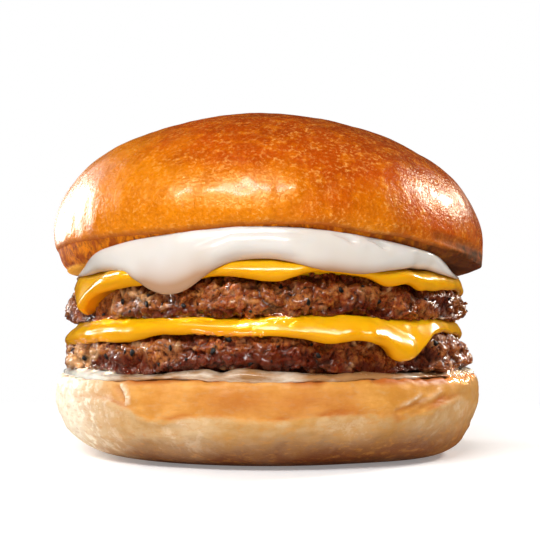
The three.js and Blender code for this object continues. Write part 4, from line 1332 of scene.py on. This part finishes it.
class BurgerColours(bpy.types.PropertyGroup):
    """Colours that a user would change."""
    crust_pale: tint("Crust, pale", "Tips of the crust's grain", "FA8E0C")
    # Partly pale skin, partly painted glints on the grain's tips.
    crust_fleck_and_glint: tint("Crust, flecks", "Pale flecks of the crust's grain", "FFB45C")
    crust_edge: tint("Crust, cut edge", "Toasted edge of the cut face", "FFB43A")
    crust_golden: tint("Crust, golden", "Crust near the rim", "E27E00")
    crust_orange: tint("Crust, orange", "Crust on the side", "C64E00")
    crust_brown: tint("Crust, brown", "Crust at the top", "9A3A02")
    crust_under: tint("Crust, underside", "Crust below the rim", "A84A00")
    crust_dark: tint("Crust, burnt", "Darkest baked crust", "4E2000")
    crumb: tint("Crumb", "Cut bread", "F2DDB4")
    toast: tint("Toasted edge", "Toasted edge of a cut face", "B45A1C")
    heel_golden: tint("Heel, golden", "Upper skin of the bottom bun", "D08A34")
    heel_light: tint("Heel, light", "Light patches of the bottom bun", "E6A552")
    heel_pale: tint("Heel, pale", "Pale band of the bottom bun", "D0A874")
    heel_tan: tint("Heel, tan", "Darker patches of the pale band", "C28C44")
    heel_flake: tint("Heel, flakes", "Pale flaky skin", "FBEBD0")
    # Colour of the deeper baked front, and of the painted shade along the fold and in the notch and
    # crack.
    heel_bake_and_shade: tint("Heel, fold line", "Baked line above the fold", "B4580E")
    # Partly the foot's baked brown, partly painted shade near the floor.
    heel_brown_and_shade: tint("Heel, brown", "Foot of the bottom bun", "702E00")
    beef_brown: tint("Beef, brown", "Browned mince", "92380E")
    beef_grey: tint("Beef, grey", "Grey-brown mince", "9A562A")
    # Lighter strands, and painted highlight on the tips of the fine grain.
    beef_tan: tint("Beef, tan", "Lighter strands", "D0843E")
    beef_red: tint("Beef, red", "Red-brown patches", "580A02")
    # Painted shade for the crevices and pits of the mince.
    beef_shade: tint("Beef, dark", "Clefts of the mince", "1C0603")
    beef_fat: tint("Beef, fat", "Flecks of fat", "DAA66E")
    cheese: tint("Cheese", "Melted cheese", "F0B20A")
    # Also painted shade on the underside of the lip.
    cheese_deep: tint("Cheese, deep", "Lip of the cheese", "E08A02")
    white_sauce: tint("White sauce", "White sauce", "E5DFD9")
    white_sauce_warm: tint("White sauce, warm", "Warmer parts of the white sauce", "DED5CA")
    # Partly thin sauce over the meat, partly painted shade on the lower face.
    white_sauce_thin_and_shade: tint("White sauce, thin", "Thin edges of the white sauce", "AC7848")
    cream_sauce: tint("Cream sauce", "Cream sauce", "FFF8E8")
    cream_stain: tint("Cream sauce, stained", "Fat in the cream sauce", "A87A4C")
    pepper: tint("Pepper", "Black pepper", "0C0806")
    pepper_grey: tint("Pepper, grey", "Dusty sides of the pepper", "2A221C")
    juice: tint("Juice", "Clear fat", "FFF8EA")
    juice_deep: tint("Juice, deep", "Darker juice", "FFEBCB")
    floor: tint("Floor", "Plain floor", "F2F4F6")
    floor_shade: tint("Floor, shade", "Floor's faint variation", "EFF1F3")


def settings():
    return bpy.context.scene.burger_sizes, bpy.context.scene.burger_colours



# ---------------------------------------------------------------- operators

class BuildStep(bpy.types.Operator):
    """A step of the burger. It raises an error if it can't finish."""
    bl_options = {"REGISTER", "UNDO"}

    def execute(self, context):
        self.build(*settings())
        return {"FINISHED"}


class BURGER_OT_bottom_bun(BuildStep):
    """Add the bottom bun"""
    bl_idname = "burger.bottom_bun"
    bl_label = "Bottom Bun"

    def build(self, sizes, colours):
        heel = shape_heel(sizes.round_steps)
        add_to_burger(heel, heel_finish(colours), "bun_bottom")


class BURGER_OT_cream_sauce(BuildStep):
    """Add the cream sauce on the bottom bun"""
    bl_idname = "burger.cream_sauce"
    bl_label = "Cream Sauce"

    def build(self, sizes, colours):
        cream = shape_sheet("CreamSauce", CREAM, sizes.round_steps)
        _, bearing, _ = turned(points_of(cream))
        note(cream, "stained", np.clip(round_the_edge(CREAM_STAINS, bearing), 0, 1))
        add_to_burger(cream, cream_sauce_finish(colours), "sauce_lower")


class BURGER_OT_patties(BuildStep):
    """Add both beef patties"""
    bl_idname = "burger.patties"
    bl_label = "Patties"

    def build(self, sizes, colours):
        finish = beef_finish(colours)
        for name, patty, node in (("LowerPatty", LOWER_PATTY, "patty_lower"),
                                  ("UpperPatty", UPPER_PATTY, "patty_upper")):
            add_to_burger(shape_patty(name, patty, sizes.patty_steps), finish, node)


class BURGER_OT_cheese(BuildStep):
    """Add both melted cheese slices"""
    bl_idname = "burger.cheese"
    bl_label = "Cheese Slices"

    def build(self, sizes, colours):
        finish = cheese_finish(colours)
        for name, sheet, node in (("LowerCheese", LOWER_CHEESE, "cheese_lower"),
                                  ("UpperCheese", UPPER_CHEESE, "cheese_upper")):
            add_to_burger(shape_sheet(name, sheet, sizes.round_steps), finish, node)


class BURGER_OT_white_sauce(BuildStep):
    """Add the white sauce under the top bun"""
    bl_idname = "burger.white_sauce"
    bl_label = "White Sauce"

    def build(self, sizes, colours):
        sauce = shape_white_sauce(sizes.round_steps)
        add_to_burger(sauce, white_sauce_finish(colours), "sauce_upper")


class BURGER_OT_top_bun(BuildStep):
    """Add the glazed top bun"""
    bl_idname = "burger.top_bun"
    bl_label = "Top Bun"

    def build(self, sizes, colours):
        bun = shape_top_bun(sizes.round_steps)
        add_to_burger(bun, crust_finish(colours), "bun_top")
        bun.data.materials.append(underside_finish(colours))
        below = np.zeros(len(bun.data.vertices))
        bun.data.attributes["turned_under"].data.foreach_get("value", below)
        for face in bun.data.polygons:
            face.material_index = int(all(below[corner] for corner in face.vertices))


class BURGER_OT_pepper(BuildStep):
    """Add cracked pepper on both patties"""
    bl_idname = "burger.pepper"
    bl_label = "Pepper"

    def build(self, sizes, colours):
        chance = random.Random(7)
        places = []
        for name, known, bottom in (("UpperPatty", UPPER_PEPPER, UPPER_PATTY_BOTTOM),
                                    ("LowerPatty", LOWER_PEPPER, LOWER_PATTY_BOTTOM)):
            places += pepper_places(surface_of(name), known, bottom, sizes.pepper_size / MM,
                                    sizes.pepper_count, chance)
        specks = scattered("PepperSpecks", rounded("Pepper", 2, 4, 0.5), places)
        add_to_burger(specks, pepper_finish(colours))


class BURGER_OT_crumbles(BuildStep):
    """Add the crumbles of mince at the slices' lips"""
    bl_idname = "burger.crumbles"
    bl_label = "Mince Crumbles"

    def build(self, sizes, colours):
        chance = random.Random(11)
        surface = surface_of("UpperPatty", "LowerPatty")
        places = []
        for bearing, height, width in CRUMBLES:
            radius, direction = surface_radius(surface, bearing, height - 0.6)
            places.append((point_at(bearing, radius - 0.1, height - 0.3), direction,
                           (width, width * chance.uniform(0.7, 1), width * 0.8),
                           chance.uniform(0, 6.3)))
        crumbles = scattered("MinceCrumbles", rounded("Crumble", 4, 9, 0.35), places)
        points = points_of(crumbles)
        push_out(crumbles, 0.14 * grain(points, 0.7, 3, 2))
        # Painted shade: darker patches standing for the crumbles' crevices.
        note(crumbles, "cleft_shade", ease(-grain(points, 0.8, 3, 2), 0.1, 1))
        note(crumbles, "tone", 0.5 + 0.5 * grain(points, 2.5, 6))
        note(crumbles, "redness", ease(grain(points, 3, 1) + 0.75, 0.2, 1))
        note(crumbles, "fat", 0)
        add_to_burger(crumbles, bpy.data.objects["UpperPatty"].data.materials[0])


class BURGER_OT_juice(BuildStep):
    """Add the clear juice round the patties"""
    bl_idname = "burger.juice"
    bl_label = "Juice"

    def build(self, sizes, colours):
        surface = surface_of("UpperPatty", "LowerPatty", "UpperCheese", "LowerCheese",
                             "CreamSauce", "Heel")
        juice = merged("MeatJuice", [pool("Juice", surface, *spot) for spot in JUICE])
        clear = juice_finish(colours)
        add_to_burger(juice, clear)
        chance = random.Random(5)
        places = []
        for bearing, height, wide, tall, count in JUICE_BEADS:
            for _ in range(count):
                turn, share = chance.uniform(0, 2 * math.pi), math.sqrt(chance.random())
                at = bearing + wide * share * math.cos(turn)
                up = height + tall * share * math.sin(turn)
                radius, direction = surface_radius(surface, at, up)
                size = chance.uniform(0.5, 1.4)
                places.append((point_at(at, radius, up), direction,
                               (size, size * chance.uniform(0.7, 1), size * 0.7), turn))
        beads = scattered("JuiceBeads", rounded("Bead", 2, 2, 0.25), places)
        add_to_burger(beads, clear)
        juice.visible_shadow = beads.visible_shadow = False


# ---------------------------------------------------------------- stage

BUNS = ("TopBun", "Heel", "Floor")
BEEF = ("UpperPatty", "LowerPatty", "MinceCrumbles", "PepperSpecks")
JUICES = ("MeatJuice", "JuiceBeads")
GLOSSY = ("UpperCheese", "LowerCheese", *JUICES)
LIGHT_AIM = (0, 0, 0.045)

# Lights: name, bearing, rise, distance, width and height, power, what they give, the pieces
# they fall on, which are all pieces if none is named, and colour if they aren't white.
LIGHTS = [
    ("Left softbox", -128, 14, 0.62, (0.26, 0.26), 2.3, "all", BUNS),
    ("Left glow", -124, 17, 0.64, (0.5, 0.42), 1.3, "all", BUNS),
    ("Left fill", -98, 14, 0.64, (0.4, 0.3), 1.5, "fill", ("LowerPatty", "PepperSpecks")),
    ("Side glint", -102, 16, 0.6, (0.09, 0.2), 2.2, "glints", GLOSSY + BEEF),
    ("Slice glint", -93, 2, 0.62, (0.17, 0.16), 3, "glints", ("UpperCheese", "LowerCheese")),
    ("Slice rim glint", -120, 40, 0.62, (0.18, 0.1), 1.7, "glints", ("UpperCheese",)),
    ("Drip glint", 42, 57, 0.62, (0.2, 0.09), 1.5, "glints", ("LowerCheese",)),
    ("Front glint", 22, 42, 0.62, (0.18, 0.05), 0.9, "glints", GLOSSY),
    ("Upper glint", 2, 42, 0.62, (0.14, 0.06), 1.5, "glints", GLOSSY),
    ("Glaze glint", -20, 39, 0.62, (0.24, 0.045), 1, "glints", ("TopBun",)),
    ("Rim glint", 122, 14, 0.62, (0.2, 0.18), 2.2, "glints", JUICES),
    ("Wet glow", -6, 36, 0.62, (0.7, 0.45), 8, "glints", JUICES),
    ("Front softbox", -17, 40, 0.62, (0.4, 0.09), 2.5, "all", ()),
    ("Front glow", -27, 41, 0.64, (0.56, 0.24), 1.1, "all", ()),
    ("Right softbox", 115, 28, 0.62, (0.11, 0.1), 2.3, "all", (), (1, 0.96, 0.9)),
    ("Right glow", 115, 28, 0.64, (0.24, 0.22), 0.45, "all", (), (1, 0.78, 0.52)),
    ("Fill", -5, 3, 0.8, (0.9, 0.5), 1.08, "fill", ()),
    ("Back fill", 178, 20, 0.64, (0.5, 0.3), 1.6, "fill",
     BEEF + GLOSSY + ("WhiteSauce", "CreamSauce"))]

FLOOR_RADIUS = 1.2
FLOOR_DROP = 0.0001
CAMERA_PLACE = (0.00066, -0.27, 0.027)
CAMERA_TILT = 94.2
CAMERA_LENS = 68.13


def add_light(name, bearing, rise, away, size, watts, gives, onto, colour=(1, 1, 1)):
    turn, tilt = math.radians(bearing), math.radians(rise)
    ray = Vector((math.sin(turn) * math.cos(tilt), -math.cos(turn) * math.cos(tilt),
                  math.sin(tilt)))
    data = bpy.data.lights.new(name, "AREA")
    data.shape = "RECTANGLE"
    data.size, data.size_y = size
    data.energy, data.color = watts, colour
    lamp = bpy.data.objects.new(name, data)
    lamp.location = Vector(LIGHT_AIM) + ray * away
    lamp.rotation_euler = ray.to_track_quat("Z", "Y").to_euler()
    lamp.visible_glossy, lamp.visible_diffuse = gives != "fill", gives != "glints"
    lamp.visible_camera = False
    bpy.context.scene.collection.objects.link(lamp)
    if onto:
        lit = bpy.data.collections.new(f"Lit by {name}")
        for each in onto:
            lit.objects.link(bpy.data.objects[each])
        lamp.light_linking.receiver_collection = lit


def add_floor(colours):
    bpy.ops.mesh.primitive_circle_add(vertices=96, radius=FLOOR_RADIUS, fill_type="NGON",
                                      location=(0, 0, -FLOOR_DROP))
    floor = bpy.context.object
    floor.name = "Floor"
    floor.data.transform(floor.matrix_world)
    floor.matrix_world.identity()
    floor.data.materials.append(floor_finish(colours))
    floor.visible_glossy = False


def set_background():
    """A white background that lights the burger softly and hardly shows in its glints."""
    scene = bpy.context.scene
    scene.world = bpy.data.worlds.new("Studio")
    w = Nodes(scene.world)
    rays = w.add("LightPath").outputs
    sky = w.fit(w.axes(w.add("TexCoord").outputs["Generated"])["Z"], -0.3, 0.5, 0.34, 0.17)
    dim = w.fit(rays["Is Glossy Ray"], 0.0, 1.0, 1.0, 0.08)
    strength = w.math("MAXIMUM", rays["Is Camera Ray"], w.times(sky, dim))
    back = w.add("Background", {"Color": (1, 1, 1, 1), "Strength": strength})
    w.add("OutputWorld", {0: back.outputs[0]})
    scene.view_settings.view_transform = "Standard"


def add_camera():
    data = bpy.data.cameras.new("Camera")
    data.lens, data.sensor_width, data.clip_start = CAMERA_LENS, 36, 0.01
    camera = bpy.data.objects.new("Camera", data)
    camera.location = CAMERA_PLACE
    camera.rotation_euler = (math.radians(CAMERA_TILT), 0, 0)
    bpy.context.scene.collection.objects.link(camera)
    bpy.context.scene.camera = camera


class BURGER_OT_stage(BuildStep):
    """Add the floor, the lights and the camera"""
    bl_idname = "burger.stage"
    bl_label = "Stage"

    def build(self, sizes, colours):
        add_floor(colours)
        for light in LIGHTS:
            add_light(*light)
        set_background()
        add_camera()


STEPS = [BURGER_OT_bottom_bun, BURGER_OT_cream_sauce, BURGER_OT_patties, BURGER_OT_cheese,
         BURGER_OT_white_sauce, BURGER_OT_top_bun, BURGER_OT_pepper, BURGER_OT_crumbles,
         BURGER_OT_juice, BURGER_OT_stage]


class BURGER_PT_sidebar(bpy.types.Panel):
    """Lists the burger's pieces in the order they are stacked"""
    bl_idname = "BURGER_PT_sidebar"
    bl_label = "Double Cheeseburger"
    bl_space_type = "VIEW_3D"
    bl_region_type = "UI"
    bl_category = "Burger"

    def draw(self, context):
        layout = self.layout
        for step in STEPS:
            layout.operator(step.bl_idname)
        for group in settings():
            for key in group.__annotations__:
                layout.prop(group, key)


CLASSES = [BurgerSizes, BurgerColours, *STEPS, BURGER_PT_sidebar]


def register():
    for each in CLASSES:
        bpy.utils.register_class(each)
    bpy.types.Scene.burger_sizes = bpy.props.PointerProperty(type=BurgerSizes)
    bpy.types.Scene.burger_colours = bpy.props.PointerProperty(type=BurgerColours)


def unregister():
    del bpy.types.Scene.burger_colours
    del bpy.types.Scene.burger_sizes
    for each in reversed(CLASSES):
        bpy.utils.unregister_class(each)


def main():
    register()
    for step in STEPS:
        group, name = step.bl_idname.split(".")
        getattr(getattr(bpy.ops, group), name)()


if __name__ == "__main__":
    main()
